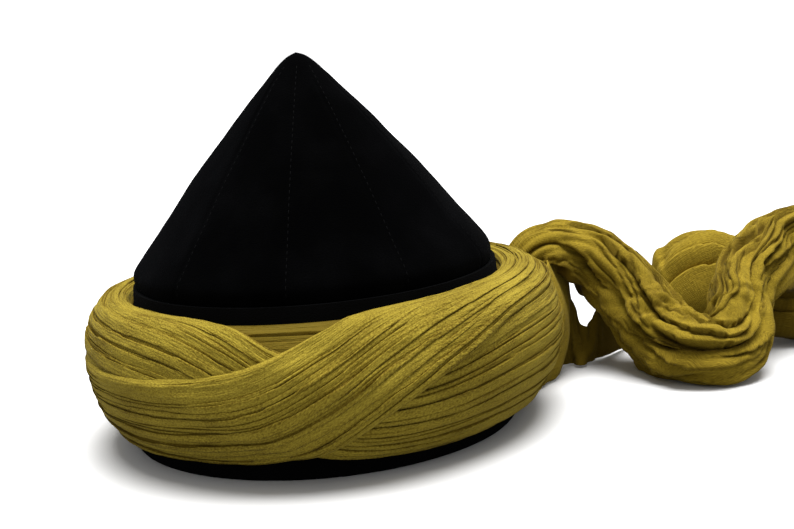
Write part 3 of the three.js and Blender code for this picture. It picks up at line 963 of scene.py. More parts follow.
degrees = np.linspace(-180, 180, STEPS_ROUND, endpoint=False)[:, None]
across = np.linspace(0, 1, INNER_ROWS)
u = (degrees + 180) / 360
folds, shift, crease = crease_heights(INNER_CREASES, u, across, OUTLINE_LENGTH)
crinkles = value_noise(INNER_CRINKLE_SEED, u, across, *INNER_CRINKLE_CELLS)
folds = folds + INNER_CRINKLE * crinkles
free = np.clip(np.minimum(across, 1 - across) / BOUND_EDGE, 0, 1)
loops = winding_point(degrees, across + shift * free / OUTLINE_LENGTH, folds * free)
round_share = np.append(across, 0.0)[None, :]
round_loop = OUTLINE_LENGTH * np.repeat(round_share, STEPS_ROUND + 1, 0)
along = metres_round(INNER_ROWS + 1)
inner = mesh_from_loops("inner_winding_cloth", loops, along, round_loop, crease, closed=True)

# %% [markdown]
# ## The free end of the cloth
# The rest of the cloth leaves the winding behind the right side, goes over a low arch, comes down
# to the floor in front, turns back on itself and rises again, and its end is laid round behind.
# It stays gathered all the way, so it is made like a lap: a line through the heap, an uneven
# section round it, long creases that follow the strand, and a few folds across it where it bends.

# %% Set the line of the free end
TAIL_REACH = 0.2
TAIL_DEPTH = 0.12
TAIL_HEIGHT = 0.064
STRAND_RADIUS = 0.02
TAIL_COURSE = [
    # out from the winding, back, up, half width, half height
    (-0.15, 0.5, 0.5, 0.5, 0.65), (-0.045, 0.53, 0.7, 0.6, 0.7),
    (0.04, 0.53, 0.94, 0.75, 0.72), (0.12, 0.5, 0.95, 0.88, 0.76),
    (0.187, 0.44, 0.85, 0.95, 0.86), (0.236, 0.36, 0.69, 0.95, 0.95),
    (0.28, 0.265, 0.495, 0.98, 1.0), (0.316, 0.165, 0.33, 1.0, 1.0),
    (0.354, 0.065, 0.225, 1.02, 0.95), (0.4, -0.005, 0.18, 1.0, 0.92),
    (0.446, -0.01, 0.19, 0.96, 0.92), (0.485, 0.035, 0.275, 0.86, 0.9),
    (0.515, 0.1, 0.42, 0.79, 0.88), (0.534, 0.175, 0.56, 0.75, 0.8),
    (0.564, 0.25, 0.67, 0.76, 0.72), (0.618, 0.33, 0.77, 0.82, 0.72),
    (0.68, 0.435, 0.86, 0.85, 0.76), (0.78, 0.485, 0.93, 0.85, 0.8),
    (0.875, 0.565, 0.835, 0.85, 0.8), (0.935, 0.69, 0.63, 0.85, 0.8),
    (0.93, 0.745, 0.43, 0.88, 0.8), (0.862, 0.63, 0.27, 0.9, 0.8),
    (0.778, 0.49, 0.23, 0.9, 0.8), (0.7, 0.47, 0.26, 0.85, 0.8),
    (0.65, 0.61, 0.38, 0.85, 0.95), (0.58, 0.71, 0.515, 0.95, 1.28),
    (0.51, 0.72, 0.505, 1.0, 1.28), (0.445, 0.74, 0.38, 1.0, 1.02),
    (0.37, 0.76, 0.25, 0.95, 0.76), (0.275, 0.715, 0.14, 1.0, 0.45),
]
TAIL_STEPS = 640
TAIL_SIDES = 150

WINDING_REACH = band_radius(WINDING_FOOT + WINDING_HEIGHT / 2) + WINDING_BULGE


def heap_point(out, back, up):
    """A place in the heap, from shares of its reach, its depth and its height."""
    along_x = AXIS.x + WINDING_REACH + TAIL_REACH * out
    return np.stack([along_x, AXIS.y + TAIL_DEPTH * back, TAIL_HEIGHT * up], -1)


course = np.array(TAIL_COURSE)
middle_points = heap_point(course[:, 0], course[:, 1], course[:, 2])
place = np.linspace(0, len(course) - 1, TAIL_STEPS)
middle = np.stack([from_rows(middle_points[:, k], place) for k in range(3)], -1)
ahead = np.gradient(middle, axis=0)
pace = np.linalg.norm(ahead, axis=1)
ahead /= pace[:, None]
travelled = np.concatenate([[0], np.cumsum(np.linalg.norm(np.diff(middle, axis=0), axis=1))])
print("the free end is", round(float(travelled[-1]), 3), "m long along its middle")

# %% [markdown]
# ### The folds of the free end
# The eye follows the long creases, so each clear one is a row of a table: where it lies round the
# strand, which part of the course it runs along, how deep and wide it is. Small creases that no
# eye would single out are drawn by chance between them. Under both lie broad rolls and pleats
# that turn slowly round the strand. At the far end the cloth is hardly gathered any more, so it
# has shallow dents there instead.

# %% List the creases of the free end
TAIL_CREASES = [
    # degrees round the strand (0 its outer side, 90 its top), first and last row of the course
    # that it runs along, depth and width in millimetres, degrees that it wanders
    (62, 3.6, 8.4, 7.5, 2.4, 3), (92, 4.6, 7.2, 6, 2, 2), (78, 2.6, 6, 4, 1.6, -6),
    (104, 3.2, 7.4, 5, 2, -5), (120, 2.2, 7.2, 5, 2.2, 6), (20, 3, 5.4, 8, 4.2, 6),
    (-28, 0.8, 4.4, 12, 7, 0), (-6, 1.4, 3.4, 12, 3.6, 4), (27, 5.2, 8.6, 9, 2.8, 3),
    (-12, 4.9, 9.2, 9, 3, 3),
    (39, 7.1, 12.1, 12, 3.4, 2), (52, 7.4, 11.6, 4.5, 1.9, 4), (8, 6.2, 10.2, 5.5, 2, 5),
    (-30, 6.4, 10.4, 6, 2.4, -5), (13, 9.2, 12.4, 5, 1.8, 5), (0, 10.4, 13, 6, 2.2, 4),
    (-85, 2.9, 4.8, -8, 8, 0), (76, 7.6, 11, 4, 1.4, 4), (66, 8.6, 13.4, 4, 1.3, 6),
    (97, 7.6, 14.5, 4.1, 1.3, 5), (110, 7.9, 15.5, 4.3, 1.3, -5), (124, 7.6, 15.2, 4.6, 1.8, 4),
    (139, 7.4, 14.8, 4.3, 1.8, -4), (153, 7.6, 14.2, 3.8, 1.3, 4), (60, 12.2, 18.5, 3.5, 1, 5),
    (72, 13.2, 19, 4.1, 1.1, -4), (84, 12.4, 18.2, 3.2, 1, 4), (95, 13.8, 18.8, 4.3, 1.2, 6),
    (42, 12, 17.2, 4.3, 1.3, -6), (22, 12.2, 18.4, 3.8, 1.3, 8), (168, 8, 17.5, 4.9, 2, 6),
    (104, 12.5, 17, 3.5, 1.2, 5), (50, 13, 18, 3.5, 1.2, -5), (33, 12.5, 16.5, 4, 1.4, 5),
    (12, 13, 18, 4, 1.5, -6), (118, 13, 18, 3.5, 1.2, 6),
    (185, 11, 18, 4.3, 1.9, -8), (140, 19.8, 24, 11, 6, 0), (130, 22, 27.5, 3.5, 2, 10),
    (38, 23, 26.2, 7, 3, 15), (78, 23.2, 26.6, 6, 2.6, -15), (2, 23.4, 26, 5, 2.6, -12),
    (106, 22.8, 26.2, 5, 2.4, 12), (5, 26.2, 28.8, 5, 2.4, 12), (160, 21, 28, 4, 2.4, 8),
]
CROSS_FOLDS = [
    # row of the course, rows that it leans, degrees round the strand to its middle and to its end,
    # depth and width in millimetres
    (26.35, 0.35, 70, 80, 3.5, 2.6), (27.1, 0.3, 60, 90, 4, 2.6), (2.4, 0.4, 80, 40, 2.5, 1.6),
    (6.3, 0.5, 62, 34, 4, 1.8), (6.9, 0.4, 52, 30, 4, 1.6), (7.5, 0.3, 70, 38, 3.5, 1.6),
    (8.2, 0.4, 84, 36, 3.5, 1.6), (12.6, -0.3, 80, 40, 2.5, 1.5),
]

# %% Shape the section of the strand
TAIL_TWIST = 150
FOLDS = 4
FOLD_DEPTH = 0.16
FOLD_SHARPNESS = 1.6
FOLD_WANDER = 0.07
FOLD_SEED = 70
FULLNESS = 1.13  # of the section, which the folds then draw in
LOBES = [
    # share of the radius, how many go round the strand, how far they turn along it
    (0.1, 2, -9), (0.07, 3, 16),
]
FAR_END_FROM, FAR_END_TO = 20.5, 23  # rows of the course
FAR_END_EVENNESS = 0.75  # share of the folds' depth that is missing there

sideways = np.cross(ahead, [0, 0, 1])
sideways /= np.linalg.norm(sideways, axis=1)[:, None]
upwards = np.cross(sideways, ahead)
half_wide = FULLNESS * STRAND_RADIUS * from_rows(course[:, 3], place)[:, None]
half_tall = FULLNESS * STRAND_RADIUS * from_rows(course[:, 4], place)[:, None]
row_at = place[:, None]
strand_share = row_at / row_at[-1]
angle = np.linspace(0, 2 * math.pi, TAIL_SIDES, endpoint=False)[None, :]
girth = 2 * math.pi * np.sqrt((half_wide**2 + half_tall**2) / 2)
turned = angle / (2 * math.pi) + 0 * strand_share
fold_line = turned - TAIL_TWIST / 360 * strand_share


def strand_noise(seed, cells_round, cells_along):
    """Smooth noise from -1 to 1 over the surface of the strand."""
    return value_noise(seed, turned, strand_share + 0 * turned, cells_round, cells_along)


warped = fold_line + FOLD_WANDER * strand_noise(FOLD_SEED, 3, 9)
valley = 1 - np.abs(np.sin(math.pi * FOLDS * warped))
lobes = sum(size * np.cos(count * angle + turn * strand_share) for size, count, turn in LOBES)
far_end = smooth_rise(row_at, FAR_END_FROM, FAR_END_TO)
reach = 1 + lobes - FOLD_DEPTH * (1 - FAR_END_EVENNESS * far_end) * valley**FOLD_SHARPNESS
print("the strand has", TAIL_STEPS, "sections")

# %% Work the creases into the strand
WIDEST_OVERLAP = 0.0022
# width of the painted shade along a long crease, in widths of the crease
LONG_SHADE_WIDTH = 0.8
OPENING_ROWS = 0.9  # rows over which a crease opens
CREASE_WAVES = 1.5  # half turns that a crease swings on its way
CREASE_START = 0.3
SMALL_CREASES = 120
SMALL_SEED = 61
SMALL_FIRST = (-1, 21)
SMALL_LENGTH = (1.6, 6)
SMALL_LAST = 21.5
SMALL_DEPTH = (0.0008, 0.0024)
SMALL_WIDTH = (0.0006, 0.0011)
SMALL_WANDER = (-14, 14)


def add_crease(degrees, first, last, depth, width, wander, side):
    """Work one long crease into the strand, from one row of its course to another."""
    along_it = np.clip((row_at - first) / (last - first), 0, 1)
    bend = np.sin(math.pi * (CREASE_WAVES * along_it + CREASE_START * side))
    off_line = np.degrees(angle) - (degrees + wander * bend)
    apart = ((off_line + 180) % 360 - 180) / 360 * girth
    opened = smooth_rise(np.minimum(row_at - first, last - row_at), 0, OPENING_ROWS)
    rise, push = fold_over(apart, side, depth, width, min(width, WIDEST_OVERLAP))
    folds[:] += opened * rise
    shift[:] += opened * push
    # painted shade along the crease, kept in the mask that darkens the colour
    narrow = min(LONG_SHADE_WIDTH * width, WIDEST_OVERLAP)
    np.maximum(crease, opened * shade_of(apart, side, narrow), out=crease)


def add_cross_fold(row, lean, middle_at, end, depth, width):
    """Work one fold across the strand, round a row of its course."""
    off_middle = angle - math.radians(middle_at)
    apart = (row_at - row - lean * np.sin(off_middle)) * travelled[-1] / row_at[-1]
    opened = smooth_rise(np.cos(off_middle), math.cos(math.radians(end)), 1)
    rise, _ = fold_over(apart, 1, depth, width, width)
    folds[:] += opened * rise
    # painted shade along the fold across the strand
    np.maximum(crease, opened * shade_of(apart, 1, SHADE_WIDTH * width), out=crease)


draw = np.random.default_rng(SMALL_SEED)
folds = np.zeros((TAIL_STEPS, TAIL_SIDES))
shift = np.zeros_like(folds)
crease = np.zeros_like(folds)
for degrees, first, last, depth, width, wander in TAIL_CREASES:
    add_crease(degrees, first, last, depth / 1000, width / 1000, wander, 1)
for row, lean, middle_at, end, depth, width in CROSS_FOLDS:
    add_cross_fold(row, lean, middle_at, end, depth / 1000, width / 1000)
for _ in range(SMALL_CREASES):
    first = draw.uniform(*SMALL_FIRST)
    last = min(first + draw.uniform(*SMALL_LENGTH), SMALL_LAST)
    depth = draw.uniform(*SMALL_DEPTH)
    width = draw.uniform(*SMALL_WIDTH)
    degrees = draw.uniform(0, 360)
    wander = draw.uniform(*SMALL_WANDER)
    add_crease(degrees, first, last, depth, width, wander, draw.choice([-1, 1]))
print("the free end has", len(TAIL_CREASES), "drawn creases and", SMALL_CREASES, "small ones")

# %% Add rolls, pleats and dents
EVENING_PASSES = 6
VALLEY_NARROWNESS = 0.8
ROLLS = {"depth": 0.0050, "seed": 74, "cells": (5, 16), "count": 8, "drift": 0.06}
FAR_ROLLS = {"depth": 0.0030, "seed": 78, "cells": (3, 9), "count": 2, "drift": 0.2}
PLEATS = {"depth": 0.0022, "seed": 76, "cells": (7, 22), "count": 21, "drift": 0.03}
DENT_DEPTH = 0.0055
DENT_SEED = 83


def evened(field):
    """The same field, evened out a little along the strand."""
    for _ in range(EVENING_PASSES):
        inner_rows = 0.5 * field[1:-1] + 0.25 * (field[:-2] + field[2:])
        field = np.concatenate([field[:1], inner_rows, field[-1:]])
    return field


def valleys_of(depth, seed, cells, count, drift):
    """Depth of narrow valleys that drift along the strand and fade in and out."""
    strength = 0.5 + 0.5 * strand_noise(seed, *cells)
    wave = np.sin(math.pi * count * (fold_line + drift * strand_noise(seed + 1, 4, 14)))
    return depth * strength * (1 - np.abs(wave) ** VALLEY_NARROWNESS)


near = 1 - far_end
dents = DENT_DEPTH * (1 - np.abs(strand_noise(DENT_SEED, 5, 12))) ** 2
rolls = -valleys_of(**ROLLS) * near - valleys_of(**FAR_ROLLS) * far_end - dents * far_end
folds -= valleys_of(**PLEATS) * near
folds, shift, crease = evened(folds), evened(shift), evened(crease)
print("the deepest fold is", round(-1000 * float((folds + rolls).min()), 1), "mm deep")

# %% Paint shade into the valleys and onto the cloth that faces down
VALLEY_SHADE = 0.55
VALLEY_FROM, VALLEY_TO = 0.002, 0.007  # depths at which the painted shade starts and is full
# share of the painted shade taken away at the far end, so that it shows lighter
FAR_END_LESS_SHADE = 0.85
# painted shade for the shadow under the arch and where the strand runs back behind itself
HIDDEN_SHADE = 0.9
FACING_DOWN = (-0.05, 0.3)
ARCH_ENDS = (4, 5.2)  # rows of the course
TURNED_OVER = (19.3, 20.3, 23.2, 24.2)  # rows where the strand runs back behind itself, in its shadow, and gets painted shade


def between_rows(rise_from, rise_to, fall_from, fall_to):
    """1 between these rows of the course and 0 outside them, with soft ends."""
    return smooth_rise(row_at, rise_from, rise_to) * (1 - smooth_rise(row_at, fall_from, fall_to))


# painted shade deep in the valleys of the folds
valleys = VALLEY_SHADE * smooth_rise(-folds - rolls, VALLEY_FROM, VALLEY_TO)
crease = np.maximum(crease, valleys) * (1 - FAR_END_LESS_SHADE * far_end)
# painted shade on the cloth that faces down under the arch, and where the strand runs back
facing_down = smooth_rise(-np.sin(angle), *FACING_DOWN)
underneath = facing_down * (1 - smooth_rise(row_at, *ARCH_ENDS))
hidden = np.maximum(underneath, between_rows(*TURNED_OVER))
crease = np.maximum(crease, HIDDEN_SHADE * hidden)
print("the strand's mean shade is", round(float(crease.mean()), 2))

# %% [markdown]
# ### Ease the tight bends
# Where the strand turns sharply, the inside of the bend has less room than its sections need.
# Real cloth bunches up there. Here the sections would crowd and cut through each other, so the
# folds are made shallower in such a place, and its points are spread out along the strand.

# %% Gather the free end
LOWEST = 0.0006
FLOOR_SOFTNESS = 0.02
CROWDED = 0.65  # below this share of the middle line's step, points count as crowded
CALMING = 0.8  # share of the folds' depth that goes where they are most crowded
SPREAD_PASSES = 300
SPREAD_STEP = 0.6


def strand_surface(lift, slide):
    """The strand's points, lifted off its plain section and slid round it."""
    bent = angle + 2 * math.pi * slide / girth
    across = (half_wide * reach + lift) * np.cos(bent)
    upright = (half_tall * reach + lift) * np.sin(bent)
    return (
        middle[:, None, :]
        + sideways[:, None, :] * across[:, :, None]
        + upwards[:, None, :] * upright[:, :, None]
    )


def above_floor(points):
    """The same points, with those under the floor brought up to lie on it."""
    sunk = np.minimum(points[:, :, 2] - LOWEST, 0)
    pressed = LOWEST * np.exp(sunk / FLOOR_SOFTNESS)
    points[:, :, 2] = np.where(sunk < 0, pressed, points[:, :, 2])
    return points


def crowding(points):
    """How much the points are crowded on the inside of a bend, from 0 to 1."""
    step = np.gradient(points, axis=0)
    onward = (step * ahead[:, None, :]).sum(-1) / pace[:, None]
    return evened(1 - smooth_rise(onward, 0, CROWDED))


def eased(points):
    """The same points, with the crowded ones spread out along the strand."""
    crowded = crowding(points)[1:-1, :, None]
    for _ in range(SPREAD_PASSES):
        between = (points[:-2] + points[2:]) / 2
        points[1:-1] += SPREAD_STEP * crowded * (between - points[1:-1])
    return points


calm = 1 - CALMING * crowding(strand_surface(rolls, 0 * shift))
loops = eased(strand_surface(calm * folds + rolls, calm * shift))
crease = calm * crease
print("the folds keep", round(float(calm.mean()), 2), "of their depth on average")

# %% [markdown]
# ### Let the strand go slack
# Real cloth that is gathered and put down has a little more cloth than the strand has room for,
# and buckles into soft crumples. A cloth simulation on a coarse grid of the strand gives them: the
# cloth is told to grow while weak pins keep it near its line. How far each coarse point moved is
# then spread evenly over the fine ones, so the drawn creases stay sharp.

# %% Grow the cloth a little and let it buckle
COARSE_ALONG = 4
COARSE_ROUND = 3
SLACK_HOLD = 0.25
SLACK_FRAMES = 14
HELD_SECTIONS = 3
SLACK_CLOTH = {
    "quality": 6,
    "mass": 0.15,
    "tension_stiffness": 20,
    "compression_stiffness": 20,
    "shear_stiffness": 7,
    "bending_stiffness": 1.5,
    "shrink_min": -0.1,
}
SLACK_EVERYWHERE = 0.3
SLACK_BEFORE_TURN = 0.5
BEFORE_TURN = (5, 6, 8, 9)  # rows of the course


def buckled(points):
    """Where the coarse grid's points come to lie when the cloth grows on its pins."""
    count, sides, _ = points.shape
    mesh = bpy.data.meshes.new("slack_strand")
    faces = grid_faces(grid_corners(count - 1, sides), count, sides)
    mesh.from_pydata(points.reshape(-1, 3).tolist(), [], faces)
    strand = bpy.data.objects.new("slack_strand", mesh)
    bpy.context.scene.collection.objects.link(strand)
    hold = strand.vertex_groups.new(name="hold")
    hold.add(list(range(count * sides)), SLACK_HOLD, "REPLACE")
    hold.add(list(range(HELD_SECTIONS * sides)), 1.0, "REPLACE")
    cloth = strand.modifiers.new("slack", "CLOTH")
    for name, value in SLACK_CLOTH.items():
        setattr(cloth.settings, name, value)
    cloth.settings.vertex_group_mass = "hold"
    cloth.settings.effector_weights.gravity = 0
    cloth.collision_settings.use_collision = False
    cloth.point_cache.frame_end = SLACK_FRAMES
    for frame in range(1, SLACK_FRAMES + 1):
        bpy.context.scene.frame_set(frame)
    settled = strand.evaluated_get(bpy.context.evaluated_depsgraph_get())
    found = np.zeros(count * sides * 3, np.float32)
    settled.data.vertices.foreach_get("co", found)
    bpy.data.objects.remove(strand)
    bpy.context.scene.frame_set(1)
    return found.reshape(points.shape)


def blend_rows(rows, place):
    """Rows of a grid blended at places counted in rows."""
    low = np.minimum(np.floor(place).astype(int), len(rows) - 1)
    high = np.minimum(low + 1, len(rows) - 1)
    part = (place - low)[:, None, None]
    return rows[low] * (1 - part) + rows[high] * part


def spread_out(coarse):
    """A coarse grid's values on the fine grid, which closes round."""
    closed = np.concatenate([coarse, coarse[:, :1]], 1)
    along = blend_rows(closed, np.arange(TAIL_STEPS) / COARSE_ALONG)
    both = blend_rows(along.transpose(1, 0, 2), np.arange(TAIL_SIDES) / COARSE_ROUND)
    return both.transpose(1, 0, 2)


plain = eased(strand_surface(rolls, 0 * shift))[::COARSE_ALONG, ::COARSE_ROUND]
moved = buckled(plain) - plain
free = SLACK_EVERYWHERE + SLACK_BEFORE_TURN * between_rows(*BEFORE_TURN)
free = calm * free * (1 - CALMING * far_end)
loops = loops + free[:, :, None] * evened(spread_out(moved))
print("the strand buckled by", round(1000 * float(np.abs(moved).max()), 1), "mm at most")
loops = above_floor(loops)

# %% Mesh the free end
closed_loops = np.concatenate([loops, loops[:, :1]], 1)
apart = np.linalg.norm(np.diff(closed_loops, axis=1), axis=2)
around = np.concatenate([np.zeros((TAIL_STEPS, 1)), np.cumsum(apart, 1)], 1)
around = evened(around - around.mean(1)[:, None])
along = np.repeat(travelled[:, None], TAIL_SIDES + 1, 1)
tail = mesh_from_loops("tail_cloth", loops, along, around, crease, closed=False)

# %% [markdown]
# ## The standing fold
# Beside the winding the gathered cloth opens into a single sheet that stands on the floor and
# leans on the heap. It is one wall of cloth with soft upright folds, so it is made as a grid from
# its foot to its edge and then given the thickness of the cloth.

# %% Stand the open fold
DRAPE_COURSE = [
    # foot out and back, belly out and back, top out, back and up
    (-0.04, 0.035, -0.01, 0.05, -0.02, 0.115, 0.78),
    (-0.005, 0.135, 0.05, 0.165, 0.025, 0.215, 0.93),
    (0.04, 0.25, 0.074, 0.285, 0.05, 0.365, 0.95),
    (0.062, 0.365, 0.092, 0.385, 0.105, 0.435, 0.78),
    (0.092, 0.385, 0.106, 0.4, 0.112, 0.435, 0.56),
    (0.122, 0.36, 0.13, 0.385, 0.137, 0.415, 0.34),
    (0.158, 0.405, 0.164, 0.415, 0.166, 0.415, 0.4),
    (0.175, 0.43, 0.178, 0.425, 0.178, 0.415, 0.6),
    (0.205, 0.47, 0.205, 0.44, 0.205, 0.415, 0.68),
    (0.275, 0.6, 0.265, 0.5, 0.25, 0.4, 0.5),
]
DRAPE_STEPS = 160
DRAPE_RISE = 60
DRAPE_FOOT = 0.02
CLOTH_THICKNESS = 0.0009
RIPPLES = [
    # size, seed, cells along and up
    (0.0022, 81, 11, 2), (0.0009, 82, 26, 3),
]
NEARLY_ALL = 0.999
# painted shade on the part of the fold that stands under the strand, between these rows of its
# course
DRAPE_SHADE = 0.95
SHADE_FROM, SHADE_TO = 2.5, 3.3

rows = np.array(DRAPE_COURSE)
place = np.linspace(0, len(rows) - 1, DRAPE_STEPS)
foot_out, foot_back, belly_out, belly_back, top_out, top_back, top_up = (
    from_rows(column, place) for column in rows.T
)
foot = heap_point(foot_out, foot_back, 0 * foot_out + DRAPE_FOOT)
belly = heap_point(belly_out, belly_back, top_up / 2)
top = heap_point(top_out, top_back, top_up)
rise = np.linspace(0, 1, DRAPE_RISE)[None, :, None]
pull = 2 * belly - (foot + top) / 2
sheet_points = (
    (1 - rise) ** 2 * foot[:, None]
    + 2 * rise * (1 - rise) * pull[:, None]
    + rise**2 * top[:, None]
)
run_share = np.linspace(0, NEARLY_ALL, DRAPE_STEPS)[:, None]
ripple = sum(
    size * value_noise(seed, run_share, rise[:, :, 0], cells_along, cells_up)
    for size, seed, cells_along, cells_up in RIPPLES
)
run = np.gradient(foot, axis=0)
run /= np.linalg.norm(run, axis=1)[:, None]
outward_side = np.stack([run[:, 1], -run[:, 0], 0 * run[:, 0]], -1)
sheet_points = sheet_points + ripple[:, :, None] * outward_side[:, None, :]
sheet_points[:, :, 2] = np.maximum(sheet_points[:, :, 2], LOWEST)

# %% Mesh the open fold
foot_length = np.concatenate([[0], np.cumsum(np.linalg.norm(np.diff(foot, axis=0), axis=1))])
climb = np.linalg.norm(np.diff(sheet_points, axis=1), axis=2)
climbed = np.concatenate([np.zeros((DRAPE_STEPS, 1)), np.cumsum(climb, 1)], 1)
along = np.repeat(foot_length[:, None], DRAPE_RISE, 1)
corners = grid_corners(DRAPE_STEPS - 1, DRAPE_RISE - 1)
faces = grid_faces(corners, DRAPE_STEPS, DRAPE_RISE)
# painted shade for the shadow of the strand, kept as the crease attribute
shaded = DRAPE_SHADE * smooth_rise(place, SHADE_FROM, SHADE_TO)[:, None] + 0 * ripple
uv = grid_uv(corners, along, climbed)
drape = cloth_piece("drape_cloth", sheet_points.reshape(-1, 3), faces, uv, shaded)
apply_modifier(drape, "SOLIDIFY", thickness=CLOTH_THICKNESS, offset=0)
bpy.ops.object.shade_smooth()

# %% [markdown]
# ## The cloth's finish
# The cloth is crinkled cotton in mustard. Its colour changes a little from place to place, it gets
# painted shade in the creases and wherever the crease attribute asks for it, and it shows fine
# lengthwise crinkle over a plain weave. All of this reads the UV map in metres, so it follows the
# cloth round every bend. The pattern is one node group, because the laps, the winding, the free
# end and the open fold all share it.

# %% Build the crinkled weave
CRINKLE_SCALE = (110, 900)
CRINKLE_ROUGHNESS = 0.6
PATCH_SCALE = (22, 45)
PATCH_ROUGHNESS = 0.55
SLUB_SCALE = (900, 2600)
WARP_SCALE = (330, 0.001)
WEFT_SCALE = (330, 330)
THREAD_WOBBLE = 0.6
THREAD_SHARE = 0.12
SLUB_SHARE = 0.25
TONE_SHARE = 0.5
TONE_RANGE = {"From Min": 0.55, "From Max": 1.45}
# how far the painted shade of the crease attribute darkens the colour
CREASE_PAINTED_SHADE = 0.75


def new_group(name, inputs, outputs):
    """A new group of nodes, with its input node and its output node."""
    group = bpy.data.node_groups.new(name, "ShaderNodeTree")
    for direction, sockets in (("INPUT", inputs), ("OUTPUT", outputs)):
        for socket_name, kind in sockets.items():
            group.interface.new_socket(
                name=socket_name, in_out=direction, socket_type="NodeSocket" + kind
            )
    return group, node(group, "NodeGroupInput"), node(group, "NodeGroupOutput")


weave, given, result = new_group(
    "crinkled_weave",
    {"Light": "Color", "Shade": "Color", "Crinkle": "Float"},
    {"Color": "Color", "Height": "Float"},
)
cloth_map = node(weave, "ShaderNodeUVMap", uv_map="cloth")


def pattern_on(kind, scale, turn, inputs, **settings):
    """A texture on the cloth's map, stretched along and across the cloth and turned."""
    placing = {"Scale": (*scale, 1), "Rotation": (0, 0, turn)}
    mapping = node(weave, "ShaderNodeMapping", placing)
    weave.links.new(cloth_map.outputs["UV"], mapping.inputs["Vector"])
    made = node(weave, kind, {"Scale": 1, **inputs}, **settings)
    weave.links.new(mapping.outputs["Vector"], made.inputs["Vector"])
    return made.outputs["Fac"]


def noise_on(scale, detail, roughness):
    """Cloudy noise on the cloth."""
    values = {"Detail": detail, "Roughness": roughness}
    return pattern_on("ShaderNodeTexNoise", scale, 0, values, noise_dimensions="2D")


def threads(scale, turn, detail):
    """Even bands with a slight wobble, one for each thread."""
    values = {"Distortion": THREAD_WOBBLE, "Detail": detail}
    return pattern_on("ShaderNodeTexWave", scale, turn, values, bands_direction="X")


def sum_of(a, b, share):
    """The first value plus a share of the second."""
    made = node(weave, "ShaderNodeMath", {1: share}, operation="MULTIPLY_ADD")
    weave.links.new(b, made.inputs[0])
    weave.links.new(a, made.inputs[2])
    return made.outputs["Value"]


crinkles = noise_on(CRINKLE_SCALE, 3, CRINKLE_ROUGHNESS)
patches = noise_on(PATCH_SCALE, 3, PATCH_ROUGHNESS)
slubs = noise_on(SLUB_SCALE, 1, 0.5)
warp = threads(WARP_SCALE, 0, 1)
weft = threads(WEFT_SCALE, math.pi / 2, 2)

# %% Blend the weave's height and colour
crinkle_share = node(weave, "ShaderNodeMath", operation="MULTIPLY")
weave.links.new(crinkles, crinkle_share.inputs[0])
weave.links.new(given.outputs["Crinkle"], crinkle_share.inputs[1])
height = crinkle_share.outputs["Value"]
for part, share in ((warp, THREAD_SHARE), (weft, THREAD_SHARE), (slubs, SLUB_SHARE)):
    height = sum_of(height, part, share)
weave.links.new(height, result.inputs["Height"])

tone = sum_of(slubs, crinkles, TONE_SHARE)
tone = sum_of(tone, patches, TONE_SHARE)
spread_tone = node(weave, "ShaderNodeMapRange", TONE_RANGE)
weave.links.new(tone, spread_tone.inputs["Value"])
# the crease attribute carries painted shade, which pulls the colour towards the dark end
painted_shade_mask = node(weave, "ShaderNodeAttribute", attribute_name="crease")
kept = node(
    weave, "ShaderNodeMath", {1: -CREASE_PAINTED_SHADE}, operation="MULTIPLY_ADD", use_clamp=True
)
weave.links.new(painted_shade_mask.outputs["Fac"], kept.inputs[0])
weave.links.new(spread_tone.outputs["Result"], kept.inputs[2])
# the mix holds the cloth's random tone and the painted shade
dyed = node(weave, "ShaderNodeMix", data_type="RGBA")
weave.links.new(kept.outputs["Value"], dyed.inputs["Factor"])
weave.links.new(given.outputs["Shade"], dyed.inputs["A"])
weave.links.new(given.outputs["Light"], dyed.inputs["B"])
weave.links.new(dyed.outputs["Result"], result.inputs["Color"])
print("the crinkled weave has", len(weave.nodes), "nodes")

# %% Dye the cloth
# the dark end of the cloth's random tone, and the colour that the painted shade pulls towards
MUSTARD_SHADE = (0.12, 0.078, 0.006, 1)
CLOTH_FINISH = {
    "Roughness": 0.88,
    "Specular IOR Level": 0.06,
    "Sheen Weight": 0.05,
    "Sheen Roughness": 0.5,
    "Sheen Tint": (0.9, 0.75, 0.35, 1),
}
DYED = [
    # name, colour, strength of the crinkles, depth of the relief, pieces
    ("wound_cloth", (0.42, 0.322, 0.038, 1), 1.0, 0.0006, (lap_under, lap_over)),
    ("loose_cloth", (0.385, 0.273, 0.0245, 1), 0.7, 0.0005, (tail, drape)),
    # a darker copy of the cloth for the inner winding: painted shade for the shadow between and
    # behind the laps
    ("painted_shade_cloth", (0.13, 0.095, 0.010, 1), 1.0, 0.0006, (inner,)),
]


def patterned_material(name, finish, group, values, relief_depth):
    """A material whose colour and relief come from a group of nodes."""
    material, tree, shader = new_material(name, finish)
    pattern = node(tree, "ShaderNodeGroup", values, node_tree=group)
    relief = node(tree, "ShaderNodeBump", {"Strength": 1, "Distance": relief_depth})
    tree.links.new(pattern.outputs["Height"], relief.inputs["Height"])
    tree.links.new(relief.outputs["Normal"], shader.inputs["Normal"])
    tree.links.new(pattern.outputs["Color"], shader.inputs["Base Color"])
    return material


for name, colour, crinkle, relief_depth, pieces in DYED:
    values = {"Light": colour, "Shade": MUSTARD_SHADE, "Crinkle": crinkle}
    cloth = patterned_material(name, CLOTH_FINISH, weave, values, relief_depth)
    for piece in pieces:
        piece.data.materials.append(cloth)
print("the cloth is dyed")

# %% [markdown]
# ## Velvet
# Velvet is almost black where one looks straight at it and catches a little light at a grazing
# angle, because its short hairs stand up. The base colour is nearly black with cloudy brushed
# patches, the reflection is kept very weak, and the sheen gives the paler edges. The band's
# velvet is painted a little lighter than the crown's, as painted light that lifts it out of the
# shade under the winding, and the inside of both has a plain dark lining.

